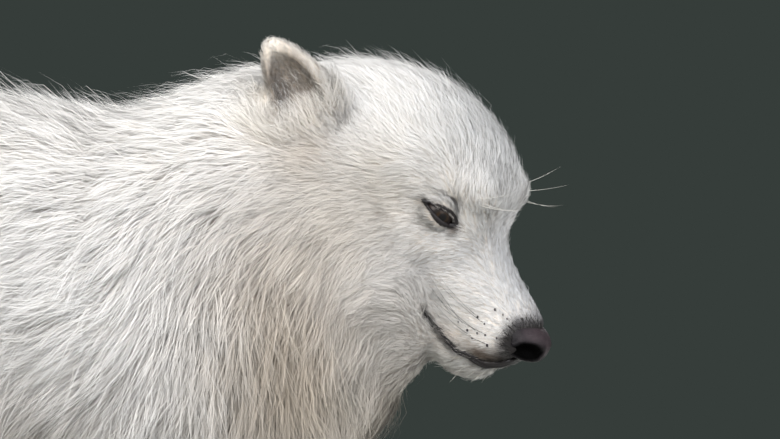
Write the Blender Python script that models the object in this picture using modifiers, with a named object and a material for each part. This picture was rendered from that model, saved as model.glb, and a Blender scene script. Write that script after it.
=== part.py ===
"""Arctic wolf, adult, life size: it stands still with its head lowered and turned a little to its right.

The body is modelled whole, to the tips of its coat, and then parted with thin cuts into the pieces that
a person would name. +Z is up and the wolf faces -Y, so its left side is at +X. The origin is on the floor,
at the middle of the box round the whole body.
"""

import math

import bmesh
import bpy
from mathutils import Matrix, Vector

# Driving dimensions, in metres. Along Y, 0 is the line of the forelegs until the whole is centred.
GAP = 0.0003  # clearance that every cut leaves
BODY_VOXEL = 0.0042
BODY_TRIANGLES = 4500
HEAD_KEPT = 0.06  # how dearly the head's edges are held when triangles are taken out
WITHERS_HEIGHT = 0.760
EYE_RADIUS = 0.0118
EYE_MIDDLE = Vector((-0.022, -0.3785, 0.6645))  # halfway between the eyes
HEAD_DOWN = math.radians(48)
HEAD_TURN = math.radians(-18)
HEAD_ROLL = math.radians(-6)
HEAD = (
    Matrix.Translation(EYE_MIDDLE)
    @ Matrix.Rotation(HEAD_TURN, 4, "Z")
    @ Matrix.Rotation(HEAD_DOWN, 4, "X")
    @ Matrix.Rotation(HEAD_ROLL, 4, "Y")
)

# Stations of the trunk and of the neck: along Y, top, bottom, half width, height of the widest place.
TRUNK = (
    (-0.090, 0.733, 0.410, 0.105, 0.580),
    (-0.040, 0.751, 0.382, 0.132, 0.575),
    (0.040, WITHERS_HEIGHT, 0.360, 0.146, 0.570),
    (0.140, 0.750, 0.354, 0.150, 0.565),
    (0.260, 0.738, 0.368, 0.150, 0.565),
    (0.380, 0.733, 0.396, 0.143, 0.570),
    (0.480, 0.736, 0.424, 0.135, 0.580),
    (0.570, 0.730, 0.456, 0.126, 0.590),
    (0.635, 0.708, 0.505, 0.102, 0.600),
    (0.678, 0.672, 0.560, 0.060, 0.610),
)
NECK = (
    (0.060, 0.745, 0.390, 0.130, 0.580),
    (-0.050, 0.754, 0.382, 0.142, 0.576),
    (-0.110, 0.740, 0.386, 0.140, 0.580),
    (-0.170, 0.757, 0.396, 0.133, 0.588),
    (-0.220, 0.771, 0.412, 0.122, 0.592),
    (-0.260, 0.760, 0.434, 0.112, 0.592),
    (-0.295, 0.735, 0.466, 0.100, 0.590),
    (-0.325, 0.690, 0.502, 0.080, 0.588),
    (-0.352, 0.635, 0.545, 0.045, 0.585),
)
NECK_SHIFT = -0.014  # how far the neck's front end has swung to the wolf's right

# Stations of the head in its own frame: forward of the eyes, top, bottom, half width, height of the widest place.
SKULL = (
    (0.1160, -0.0130, -0.0460, 0.0130, -0.029),
    (0.1110, -0.0100, -0.0630, 0.0205, -0.036),
    (0.0940, -0.0060, -0.0730, 0.0270, -0.043),
    (0.0730, -0.0020, -0.0820, 0.0305, -0.044),
    (0.0550, 0.0030, -0.0900, 0.0345, -0.042),
    (0.0400, 0.0140, -0.0940, 0.0385, -0.038),
    (0.0290, 0.0370, -0.0980, 0.0430, -0.036),
    (0.0150, 0.0560, -0.1010, 0.0480, -0.034),
    (-0.0050, 0.0660, -0.1050, 0.0560, -0.038),
    (-0.0300, 0.0660, -0.1090, 0.0720, -0.042),
    (-0.0600, 0.0610, -0.1150, 0.0840, -0.046),
    (-0.0950, 0.0490, -0.1250, 0.0870, -0.052),
    (-0.1300, 0.0200, -0.1300, 0.0820, -0.060),
    (-0.1600, -0.0150, -0.1150, 0.0600, -0.064),
)
EYE = Vector((0.040, -0.004, 0.0))  # left eye in the head's frame
EAR_BASE = Vector((0.074, 0.097, -0.022))
EAR_LENGTH = 0.080
# Stations of the ear's outside and of its hollow: share of the length, half width, half depth.
EAR_SHELL = (
    (-0.30, 0.024, 0.020),
    (0.00, 0.027, 0.020),
    (0.30, 0.0285, 0.017),
    (0.60, 0.0245, 0.0125),
    (0.82, 0.0165, 0.0090),
    (0.95, 0.0085, 0.0055),
    (1.00, 0.0025, 0.0020),
)
EAR_HOLLOW = (
    (0.06, 0.010, 0.008),
    (0.20, 0.0185, 0.0130),
    (0.40, 0.0205, 0.0135),
    (0.65, 0.0170, 0.0110),
    (0.83, 0.0100, 0.0070),
    (0.92, 0.003, 0.003),
)
EAR_HOLLOW_AHEAD = 0.0085  # how far the hollow lies ahead of the ear's own middle
NOSE_PLACE = Vector((0, -0.1110, -0.0240))
NOSE_RADII = Vector((0.0170, 0.0135, 0.0145))

# Legs as stations down the limb: along Y, height, half depth, half width.
FORELEG = (
    (0.030, 0.600, 0.050, 0.020),
    (0.038, 0.540, 0.086, 0.050),
    (0.046, 0.440, 0.076, 0.054),
    (0.036, 0.350, 0.050, 0.042),
    (0.024, 0.260, 0.037, 0.034),
    (0.018, 0.170, 0.031, 0.031),
    (0.012, 0.105, 0.028, 0.030),
    (-0.004, 0.055, 0.029, 0.031),
    (-0.018, 0.026, 0.032, 0.032),
)
HINDLEG = (
    (0.585, 0.670, 0.050, 0.020),
    (0.572, 0.610, 0.098, 0.048),
    (0.553, 0.510, 0.114, 0.064),
    (0.552, 0.420, 0.090, 0.055),
    (0.580, 0.345, 0.064, 0.045),
    (0.630, 0.285, 0.046, 0.035),
    (0.668, 0.235, 0.039, 0.031),
    (0.673, 0.170, 0.031, 0.029),
    (0.664, 0.105, 0.028, 0.029),
    (0.652, 0.055, 0.029, 0.030),
    (0.640, 0.026, 0.032, 0.031),
)
TAIL = (
    (0.640, 0.680, 0.036, 0.038),
    (0.690, 0.655, 0.040, 0.042),
    (0.725, 0.590, 0.046, 0.048),
    (0.742, 0.500, 0.053, 0.054),
    (0.750, 0.410, 0.054, 0.055),
    (0.758, 0.330, 0.045, 0.046),
    (0.770, 0.280, 0.028, 0.029),
    (0.778, 0.256, 0.008, 0.008),
)
# Where each foot stands: half the spread between the pair, and the step forward (-) or back (+) of left and right.
FORE_STANCE = {"half_spread": 0.074, "left": 0.030, "right": -0.034}
HIND_STANCE = {"half_spread": 0.092, "left": -0.035, "right": 0.022}
FORE_FOOT = Vector((0.0, -0.030, 0.0))
HIND_FOOT = Vector((0.0, 0.628, 0.0))
# Toes of a foot: across, forward of the foot's middle, half width. The outer two sit further back.
TOES = ((-0.0340, 0.024, 0.0150), (-0.0125, 0.044, 0.0155), (0.0125, 0.044, 0.0155), (0.0340, 0.024, 0.0150))
TOE_RADII = (0.0155, 0.0280, 0.0200)
CLAW_LENGTH = 0.019
CLAW_RADIUS = 0.0034
SIDES = {"left": 1, "right": -1}

PALETTE = {
    "coat": ((0.80, 0.77, 0.71), 0.85),
    "nose_leather": ((0.055, 0.045, 0.050), 0.35),
    "eye": ((0.090, 0.055, 0.030), 0.08),
    "claw": ((0.110, 0.095, 0.085), 0.40),
}


def clear_scene():
    for obj in list(bpy.data.objects):
        bpy.data.objects.remove(obj, do_unlink=True)


def new_collection(name, shown=True):
    made = bpy.data.collections.new(name)
    bpy.context.scene.collection.children.link(made)
    made.hide_render = not shown
    return made


def material(name):
    found = bpy.data.materials.get(name)
    if found:
        return found
    colour, roughness = PALETTE[name]
    made = bpy.data.materials.new(name)
    made.use_nodes = True
    shader = made.node_tree.nodes["Principled BSDF"]
    shader.inputs["Base Color"].default_value = (*colour, 1.0)
    shader.inputs["Roughness"].default_value = roughness
    shader.inputs["Metallic"].default_value = 0.0
    return made


def object_from(bm, name, collection):
    bm.normal_update()
    bmesh.ops.recalc_face_normals(bm, faces=bm.faces)
    mesh = bpy.data.meshes.new(name)
    bm.to_mesh(mesh)
    bm.free()
    obj = bpy.data.objects.new(name, mesh)
    collection.objects.link(obj)
    return obj


def egg_ring(centre, across, up, half_width, rise, drop, corner=2.2, steps=28):
    """Points of a closed section that is half_width wide, rise tall above its widest place and drop below it."""
    points = []
    for i in range(steps):
        angle = 2 * math.pi * i / steps
        c, s = math.cos(angle), math.sin(angle)
        x = half_width * math.copysign(abs(c) ** (2 / corner), c)
        z = (rise if s > 0 else drop) * math.copysign(abs(s) ** (2 / corner), s)
        points.append(centre + across * x + up * z)
    return points


def loft(name, rings, collection):
    """A closed body through rings of equal counts, with a rounded cap made of one face at each end."""
    bm = bmesh.new()
    loops = [[bm.verts.new(p) for p in ring] for ring in rings]
    for first, second in zip(loops, loops[1:]):
        for i in range(len(first)):
            j = (i + 1) % len(first)
            bm.faces.new((first[i], first[j], second[j], second[i]))
    bm.faces.new(loops[0])
    bm.faces.new(loops[-1])
    return object_from(bm, name, collection)


def ellipsoid(name, centre, radii, collection, turn=None, segments=24):
    bm = bmesh.new()
    bmesh.ops.create_uvsphere(bm, u_segments=segments, v_segments=segments // 2, radius=1.0)
    turn = turn.to_4x4() if turn else Matrix()
    bm.transform(Matrix.Translation(centre) @ turn @ Matrix.Diagonal((*radii, 1.0)))
    return object_from(bm, name, collection)


def box(name, low, high, collection, frame=None):
    """A closed box between two corners, in the given frame."""
    low, high = Vector(low), Vector(high)
    bm = bmesh.new()
    bmesh.ops.create_cube(bm, size=1.0)
    bm.transform(Matrix.Translation((low + high) / 2) @ Matrix.Diagonal((*(high - low), 1.0)))
    bm.transform(frame or Matrix())
    return object_from(bm, name, collection)


def smooth_stations(stations, between=3):
    """More stations, on a smooth curve through the given ones."""
    dense = []
    last = len(stations) - 1
    for i in range(last):
        a, b, c, d = (stations[max(0, min(last, i + k))] for k in (-1, 0, 1, 2))
        for step in range(between):
            t = step / between
            dense.append(
                tuple(
                    0.5 * (2 * q + (r - p) * t + (2 * p - 5 * q + 4 * r - s) * t * t + (3 * q - p - 3 * r + s) * t**3)
                    for p, q, r, s in zip(a, b, c, d)
                )
            )
    dense.append(stations[-1])
    return dense


def barrel(name, stations, collection, frame=None, forward=1, corner=2.15, shift=0.0):
    """A body lofted through upright sections. forward is -1 where a station counts forward and not back."""
    frame = frame or Matrix()
    turn = frame.to_3x3()
    rings = []
    dense = smooth_stations(stations)
    span = dense[-1][0] - dense[0][0]
    for place, top, bottom, half_width, widest in dense:
        swing = shift * ((place - dense[0][0]) / span) ** 2
        centre = frame @ Vector((swing, forward * place, widest))
        rings.append(
            egg_ring(centre, turn @ Vector((1, 0, 0)), turn @ Vector((0, 0, 1)), half_width, top - widest, widest - bottom, corner)
        )
    return loft(name, rings, collection)


def limb(name, stations, offsets, collection):
    """A tube down a limb whose sections stand square to its line. offsets is (x, y) of each station's shift."""
    dense = smooth_stations([(*s, *o) for s, o in zip(stations, offsets)])
    centres = [Vector((x, y + shift, z)) for y, z, _, _, x, shift in dense]
    rings = []
    for i, (_, _, depth, width, _, _) in enumerate(dense):
        ahead = centres[min(i + 1, len(centres) - 1)] - centres[max(i - 1, 0)]
        across = Vector((1, 0, 0))
        back = ahead.cross(across).normalized()
        rings.append(egg_ring(centres[i], across, back, width, depth, depth, 2.0, 20))
    return loft(name, rings, collection)


def press(obj, centre, radius, move, frame=None):
    """Moves the surface near a point by move, fading smoothly to nothing at the radius."""
    frame = frame or Matrix()
    centre, move = frame @ Vector(centre), frame.to_3x3() @ Vector(move)
    for vertex in obj.data.vertices:
        share = 1 - (vertex.co - centre).length_squared / radius**2
        if share > 0:
            vertex.co += move * share**2


def head_shapes(into):
    """The head's masses in its own frame, brought to its place: skull, muzzle, brows, cheeks and jaw."""
    barrel("skull_mass", SKULL, into, HEAD, forward=-1, corner=2.15)
    turn = HEAD.to_3x3()
    for side in SIDES.values():
        masses = (
            ("brow", (0.024, -0.012, 0.030), (0.024, 0.020, 0.018)),
            ("cheek_bone", (0.046, 0.020, -0.026), (0.022, 0.042, 0.024)),
            ("cheek", (0.038, 0.030, -0.062), (0.034, 0.070, 0.044)),
            ("cheek_fur", (0.048, 0.080, -0.072), (0.046, 0.080, 0.066)),
            ("ear_root", (0.060, 0.104, -0.020), (0.026, 0.034, 0.034)),
            ("lip_pad", (0.0145, -0.095, -0.039), (0.0150, 0.024, 0.018)),
            ("jaw_side", (0.024, -0.045, -0.070), (0.016, 0.045, 0.018)),
        )
        for name, centre, radii in masses:
            place = HEAD @ Vector((side * centre[0], *centre[1:]))
            ellipsoid(f"{name}_mass", place, radii, into, turn)
    ellipsoid("throat_mass", Vector((-0.014, -0.295, 0.590)), (0.092, 0.070, 0.088), into)
    ellipsoid("chin_mass", HEAD @ Vector((0, -0.1010, -0.0605)), (0.0160, 0.0150, 0.0120), into, turn)


def ear_frame(side):
    """The ear's own frame: Z to the tip, -Y out of its opening. The left ear lies lower and further back."""
    if side < 0:
        tip, opening = Vector((0.35, 0.80, 0.34)), Vector((0.90, -0.35, 0.12))
    else:
        tip, opening = Vector((0.62, 0.76, -0.14)), Vector((0.70, -0.55, -0.20))
    up = tip.normalized()
    out = (opening - up * opening.dot(up)).normalized()
    turn = Matrix((out.cross(up) * -1, -out, up)).transposed()
    local = Matrix.Translation(EAR_BASE) @ turn.to_4x4()
    return HEAD @ (Matrix.Diagonal((-1, 1, 1, 1)) @ local if side < 0 else local)


def ear_solid(name, side, helpers, into):
    """A rounded, cupped ear: a thick cone less the hollow that opens to the front. Its root reaches into the head."""
    frame = ear_frame(side)
    across, deep = frame.to_3x3() @ Vector((1, 0, 0)), frame.to_3x3() @ Vector((0, 1, 0))

    def rings(stations, ahead, between):
        return [
            egg_ring(frame @ Vector((0, -ahead, h * EAR_LENGTH)), across, deep, w, d, d, 2.0, 10)
            for h, w, d in smooth_stations(stations, between)
        ]

    body = loft(name, rings(EAR_SHELL, 0.0, 2), into)
    cutter = loft(f"{name}_hollow", rings(EAR_HOLLOW, EAR_HOLLOW_AHEAD, 1), helpers)
    return boolean(body, cutter, "DIFFERENCE")


def foot_shapes(foot, x, into):
    """A foot's pad and its four toes, each reaching a little under the floor's level, where the sole is cut flat."""
    ellipsoid("pad_mass", foot + Vector((x, 0.0, 0.021)), (0.037, 0.048, 0.027), into)
    for across, ahead, _ in TOES:
        ellipsoid("toe_mass", foot + Vector((x + across, -ahead, 0.0165)), TOE_RADII, into)


def leg_offsets(stations, x, step):
    """A leg swings from its upper end: the step grows from nothing at the top, where the legs also stand closer."""
    high, low = stations[0][1], stations[-1][1]
    shares = [(high - z) / (high - low) for _, z, _, _ in stations]
    return [(x * (0.76 + 0.24 * share**0.5), step * share**1.2) for share in shares]


def body_shapes(into):
    barrel("trunk_mass", TRUNK, into)
    barrel("neck_mass", NECK, into, shift=NECK_SHIFT)
    limb("tail_mass", TAIL, [(0.0, 0.0)] * len(TAIL), into)
    for name, side in SIDES.items():
        ellipsoid("shoulder_mass", Vector((side * 0.090, 0.015, 0.560)), (0.062, 0.105, 0.150), into)
        ellipsoid("haunch_mass", Vector((side * 0.082, 0.560, 0.560)), (0.058, 0.110, 0.135), into)
        for stations, stance, foot in ((FORELEG, FORE_STANCE, FORE_FOOT), (HINDLEG, HIND_STANCE, HIND_FOOT)):
            x, step = side * stance["half_spread"], stance[name]
            limb("leg_mass", stations, leg_offsets(stations, x, step), into)
            foot_shapes(foot + Vector((0, step, 0)), x, into)


def evaluated(obj):
    """The object's mesh with its modifiers applied and the modifiers gone."""
    graph = bpy.context.evaluated_depsgraph_get()
    mesh = bpy.data.meshes.new_from_object(obj.evaluated_get(graph))
    obj.modifiers.clear()
    obj.data = mesh
    return obj


def boolean(obj, other, operation):
    modifier = obj.modifiers.new(operation.lower(), "BOOLEAN")
    modifier.operation = operation
    modifier.object = other
    modifier.solver = "EXACT"
    bpy.context.view_layer.update()
    return evaluated(obj)


def whole_body(masses, into):
    """All masses as one smooth skin, light enough for a faceted solid."""
    bm = bmesh.new()
    for obj in masses.objects:
        bm.from_mesh(obj.data)
    body = object_from(bm, "whole", into)
    body.data.polygons.foreach_set("use_smooth", [True] * len(body.data.polygons))
    remesh = body.modifiers.new("remesh", "REMESH")
    remesh.mode, remesh.voxel_size = "VOXEL", BODY_VOXEL
    soften = body.modifiers.new("soften", "SMOOTH")
    soften.factor, soften.iterations = 0.5, 9
    evaluated(body)
    soft = body.vertex_groups.new(name="soft")
    near_head = HEAD @ Vector((0, 0.02, -0.02))
    into_head = HEAD.inverted()
    for vertex in body.data.vertices:
        from_head = ((vertex.co - near_head).length - 0.13) / 0.08
        from_face = ((into_head @ vertex.co).y - 0.035) / 0.05
        from_foot = (vertex.co.z - 0.10) / 0.15
        soft.add([vertex.index], max(0.0, min(1.0, max(from_head, from_face), from_foot)), "REPLACE")
    blend = body.modifiers.new("blend", "SMOOTH")
    blend.factor, blend.iterations, blend.vertex_group = 0.5, 60, soft.name
    evaluated(body)
    body.vertex_groups.clear()
    return body


def shape_face(body):
    """The hollows that the masses alone don't give: orbits, the stop and the groove of the mouth."""
    for side in SIDES.values():
        press(body, (side * 0.052, -0.012, 0.000), 0.026, (-side * 0.0085, 0.0060, 0), HEAD)
        press(body, (side * 0.034, -0.040, -0.010), 0.028, (-side * 0.0045, 0, 0), HEAD)
    press(body, (0, -0.036, 0.018), 0.024, (0, 0.002, -0.004), HEAD)


def thin_out(body, triangles):
    """Fewer triangles, fewest of them taken from the head, where the shape is finest."""
    group = body.vertex_groups.new(name="spent")
    near_head = HEAD @ Vector((0, -0.01, -0.02))
    for vertex in body.data.vertices:
        nearness = (0.17 - (vertex.co - near_head).length) / 0.05
        group.add([vertex.index], 1.0 - 0.5 * max(0.0, min(1.0, nearness)), "REPLACE")
    thin = body.modifiers.new("thin", "DECIMATE")
    thin.ratio = triangles / sum(len(p.vertices) - 2 for p in body.data.polygons)
    thin.use_collapse_triangulate = True
    thin.vertex_group = group.name
    thin.vertex_group_factor = HEAD_KEPT
    evaluated(body)
    body.vertex_groups.clear()
    return body


def keep_largest(obj):
    """Drops the crumbs that a cut can leave beside the piece."""
    bm = bmesh.new()
    bm.from_mesh(obj.data)
    left, islands = set(bm.verts), []
    while left:
        island, front = set(), [left.pop()]
        while front:
            vertex = front.pop()
            island.add(vertex)
            found = {edge.other_vert(vertex) for edge in vertex.link_edges} & left
            left -= found
            front.extend(found)
        islands.append(island)
    islands.sort(key=len)
    bmesh.ops.delete(bm, geom=[v for island in islands[:-1] for v in island], context="VERTS")
    bm.to_mesh(obj.data)
    bm.free()
    return obj


def part_off(rest, name, low, high, collection, helpers, frame=None):
    """Parts off what lies in the box between two corners, as a piece of its own, and leaves a gap round it."""
    piece = rest.copy()
    piece.name, piece.data = name, rest.data.copy()
    collection.objects.link(piece)
    inner = box(f"{name}_inner", low, high, helpers, frame)
    grown = Vector((GAP, GAP, GAP))
    outer = box(f"{name}_outer", Vector(low) - grown, Vector(high) + grown, helpers, frame)
    keep_largest(boolean(piece, inner, "INTERSECT"))
    keep_largest(boolean(rest, outer, "DIFFERENCE"))
    return piece


def seat_on(base, piece, away):
    """Takes from the piece what lies inside the base, and moves the rest off the base by the gap."""
    keep_largest(boolean(piece, base, "DIFFERENCE"))
    piece.data.transform(Matrix.Translation(away.normalized() * 1.5 * GAP))


def plane_frame(place, ahead):
    """A frame at a place whose Y points along ahead, for boxes that part a limb squarely."""
    ahead = Vector(ahead).normalized()
    across = Vector((1, 0, 0))
    up = across.cross(ahead).normalized()
    turn = Matrix((ahead.cross(up), ahead, up)).transposed()
    return Matrix.Translation(place) @ turn.to_4x4()


def claw_rings(foot, across, ahead, x, grow, reach):
    """Sections of a claw that curves forward and down from inside a toe."""
    rings = []
    stations = ((-reach, 1.0), (0.4, 0.84), (0.75, 0.54), (1.0, 0.14))
    for place, share in stations:
        out = place * CLAW_LENGTH
        drop = 0.0075 * max(0.0, place) ** 2
        centre = foot + Vector((x + across, -ahead - 0.0235 - out, 0.0165 - drop))
        radius = CLAW_RADIUS * share + grow
        rings.append(egg_ring(centre, Vector((1, 0, 0)), Vector((0, 0, 1)), 0.8 * radius, radius, radius, 2.0, 6))
    return rings


def grow_claws(paw, label, foot, x, collection, helpers):
    for number, (across, ahead, _) in enumerate(TOES, 1):
        socket = loft(f"{label}_socket", claw_rings(foot, across, ahead, x, 1.5 * GAP, 0.02), helpers)
        loft(f"{label}_{number}", claw_rings(foot, across, ahead, x, 0.0, 0.0), collection)
        boolean(paw, socket, "DIFFERENCE")


def cut_legs(trunk, wolf, helpers):
    """Parts each leg from the trunk, then the foot and, behind, the hock's part from the leg; the feet get claws."""
    for name, side in SIDES.items():
        near, far = sorted((side * 0.0, side * 0.30))
        leg = part_off(trunk, f"foreleg_{name}", (near, -0.25, -0.05), (far, 0.30, 0.350), wolf, helpers)
        paw = part_off(leg, f"forepaw_{name}", (near, -0.25, -0.05), (far, 0.30, 0.078), wolf, helpers)
        x, step = side * FORE_STANCE["half_spread"], FORE_STANCE[name]
        grow_claws(paw, f"fore_claw_{name}", FORE_FOOT + Vector((0, step, 0)), x, wolf, helpers)
        shank = part_off(trunk, f"hindleg_{name}", (near, 0.46, -0.05), (far, 0.90, 0.404), wolf, helpers)
        hock = part_off(shank, f"hock_{name}", (near, 0.46, -0.05), (far, 0.90, 0.215), wolf, helpers)
        paw = part_off(hock, f"hindpaw_{name}", (near, 0.46, -0.05), (far, 0.90, 0.078), wolf, helpers)
        x, step = side * HIND_STANCE["half_spread"], HIND_STANCE[name]
        grow_claws(paw, f"hind_claw_{name}", HIND_FOOT + Vector((0, step, 0)), x, wolf, helpers)


def cut_head(head, wolf, helpers):
    """Seats the ears, the nose and the eyes on the head and parts the lower jaw from it."""
    for name, side in SIDES.items():
        ear = ear_solid(f"ear_{name}", side, helpers, wolf)
        seat_on(head, ear, ear_frame(side).to_3x3() @ Vector((0, 0, 1)))
    nose = ellipsoid("nose", HEAD @ NOSE_PLACE, NOSE_RADII, wolf, HEAD.to_3x3(), 14)
    seat_on(head, nose, HEAD.to_3x3() @ Vector((0, -1, 0)))
    hinge = HEAD @ Matrix.Translation((0, -0.030, -0.0665)) @ Matrix.Rotation(math.radians(-8), 4, "X")
    part_off(head, "lower_jaw", (-0.040, -0.12, -0.034), (0.040, -0.027, 0.0), wolf, helpers, hinge)
    for name, side in SIDES.items():
        centre = HEAD @ Vector((side * EYE.x, EYE.y, EYE.z))
        turn = HEAD.to_3x3()
        ellipsoid(f"eye_{name}", centre, [EYE_RADIUS] * 3, wolf, turn, 14)
        socket = ellipsoid(f"socket_{name}", centre, [EYE_RADIUS + 2 * GAP] * 3, helpers, turn, 14)
        keep_largest(boolean(head, socket, "DIFFERENCE"))


def finish(wolf):
    """Gives each piece its material and sets the whole's middle over the origin."""
    bpy.context.view_layer.update()
    corners = [vertex.co for obj in wolf.objects for vertex in obj.data.vertices]
    middle = [(min(c[i] for c in corners) + max(c[i] for c in corners)) / 2 for i in (0, 1)]
    move = Matrix.Translation((-middle[0], -middle[1], 0))
    for obj in wolf.objects:
        slot = "coat"
        if "claw" in obj.name:
            slot = "claw"
        elif obj.name.startswith("eye"):
            slot = "eye"
        elif obj.name == "nose":
            slot = "nose_leather"
        obj.data.transform(move)
        obj.data.update()
        obj.data.materials.clear()
        obj.data.materials.append(material(slot))
        for polygon in obj.data.polygons:
            polygon.use_smooth = slot != "coat"


def main():
    clear_scene()
    wolf = new_collection("arctic_wolf")
    helpers = new_collection("helpers", shown=False)
    masses = new_collection("masses", shown=False)
    head_shapes(masses)
    body_shapes(masses)
    trunk = whole_body(masses, wolf)
    trunk.name = "trunk"
    shape_face(trunk)
    thin_out(trunk, BODY_TRIANGLES)
    boolean(trunk, box("floor", (-1, -1, -0.1), (1, 2, 0), helpers), "DIFFERENCE")

    tail_root = plane_frame((0, 0.692, 0.655), (0, 1, -0.1))
    part_off(trunk, "tail", (-0.062, 0, -0.41), (0.062, 0.3, 0.1), wolf, helpers, tail_root)
    nape = plane_frame((0, -0.262, 0.65), (0, -1, 0.5))
    head = part_off(trunk, "head", (-0.3, 0, -0.3), (0.3, 0.4, 0.4), wolf, helpers, nape)
    shoulder = plane_frame((0, -0.090, 0.57), (0, -1, 0.12))
    part_off(trunk, "neck", (-0.3, 0, -0.4), (0.3, 0.4, 0.24), wolf, helpers, shoulder)
    cut_head(head, wolf, helpers)
    cut_legs(trunk, wolf, helpers)
    finish(wolf)
    for obj in list(helpers.objects) + list(masses.objects):
        obj.hide_render = True
        obj.display_type = "WIRE"


main()
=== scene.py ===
"""Looks of a standing arctic wolf, life size: skin, coat, eyes, nose, lips, claws and whiskers."""

import functools
import math

import bmesh
import bpy
import numpy as np
from mathutils import Matrix, Vector
from mathutils.bvhtree import BVHTree
from mathutils.kdtree import KDTree


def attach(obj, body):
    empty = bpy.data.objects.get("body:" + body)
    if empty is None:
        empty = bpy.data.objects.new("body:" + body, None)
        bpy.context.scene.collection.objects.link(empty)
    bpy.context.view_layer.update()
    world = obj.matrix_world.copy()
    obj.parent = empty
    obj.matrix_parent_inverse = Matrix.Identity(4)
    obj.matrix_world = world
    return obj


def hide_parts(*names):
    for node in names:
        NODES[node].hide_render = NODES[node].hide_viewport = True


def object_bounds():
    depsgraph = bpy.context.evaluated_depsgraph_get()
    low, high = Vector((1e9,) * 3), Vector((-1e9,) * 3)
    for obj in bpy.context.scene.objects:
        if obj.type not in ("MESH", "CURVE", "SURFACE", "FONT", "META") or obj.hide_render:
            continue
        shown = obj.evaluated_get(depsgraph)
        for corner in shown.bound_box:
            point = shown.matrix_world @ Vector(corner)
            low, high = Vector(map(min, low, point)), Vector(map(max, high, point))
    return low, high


bl_info = {
    "name": "Arctic wolf",
    "version": (1, 0, 0),
    "blender": (4, 5, 0),
    "location": "3D View > Sidebar > Wolf",
    "description": "Skin, coat, eyes, nose, lips, claws and whiskers of a standing arctic wolf",
    "category": "Add Mesh",
}

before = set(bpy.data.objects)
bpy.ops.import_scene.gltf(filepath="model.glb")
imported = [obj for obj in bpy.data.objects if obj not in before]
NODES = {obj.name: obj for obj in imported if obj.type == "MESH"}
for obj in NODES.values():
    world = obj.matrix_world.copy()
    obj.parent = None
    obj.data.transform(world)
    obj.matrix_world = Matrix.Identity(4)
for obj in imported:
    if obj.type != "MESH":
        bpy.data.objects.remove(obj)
CAD_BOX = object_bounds()

# The head's own frame: -Y out of the nose, +X to the animal's left, +Z out of the crown.
EYE_MIDDLE = Vector((-0.022, -0.5538, 0.6645))
HEAD = (
    Matrix.Translation(EYE_MIDDLE)
    @ Matrix.Rotation(math.radians(-18), 4, "Z")
    @ Matrix.Rotation(math.radians(48), 4, "X")
    @ Matrix.Rotation(math.radians(-6), 4, "Y")
)
INTO_HEAD = HEAD.inverted()
SIDES = {"left": 1, "right": -1}
PAIRS = ("ear", "foreleg", "forepaw", "hindleg", "hock", "hindpaw")
FLESH = ["head", "lower_jaw", "neck", "trunk", "tail"]
FLESH += [f"{part}_{side}" for part in PAIRS for side in SIDES]
CLAWS = [f"{end}_claw_{side}_{toe}" for end in ("fore", "hind") for side in SIDES for toe in (1, 2, 3, 4)]

SWELL = 0.0008  # how far each part of the flesh is swollen, so that neighbours join
SAME_PLACE = 1e-5
SKIN_VOXEL = 0.0024
EAR_COAT = 0.0007  # depth of the coat on the ears
MOST_SKIN = 155000  # triangles before the skin near the eyes is divided
EYE = Vector((0.04, -0.004, 0.0))
EYE_OUT = Vector((0.75, -0.62, 0.22)).normalized()
EYE_IN = Vector((-0.635, -0.772, -0.013)).normalized()
EAR_BASE = Vector((0.074, 0.097, -0.022))
EAR_LENGTH = 0.08
CHIN = (0, -0.095, -0.067)
SKIN_BY_EYE = 0.0134  # how far the skin by the lids stands from the eye's middle
ROUND_EYE = 0.022  # how far from the gaze the lids shape the coat
OPENING_HALF = 0.0132  # half the length of the opening between the lids
OPENING_SHIFT = 0.0004  # how far it lies out and up from the gaze

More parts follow.
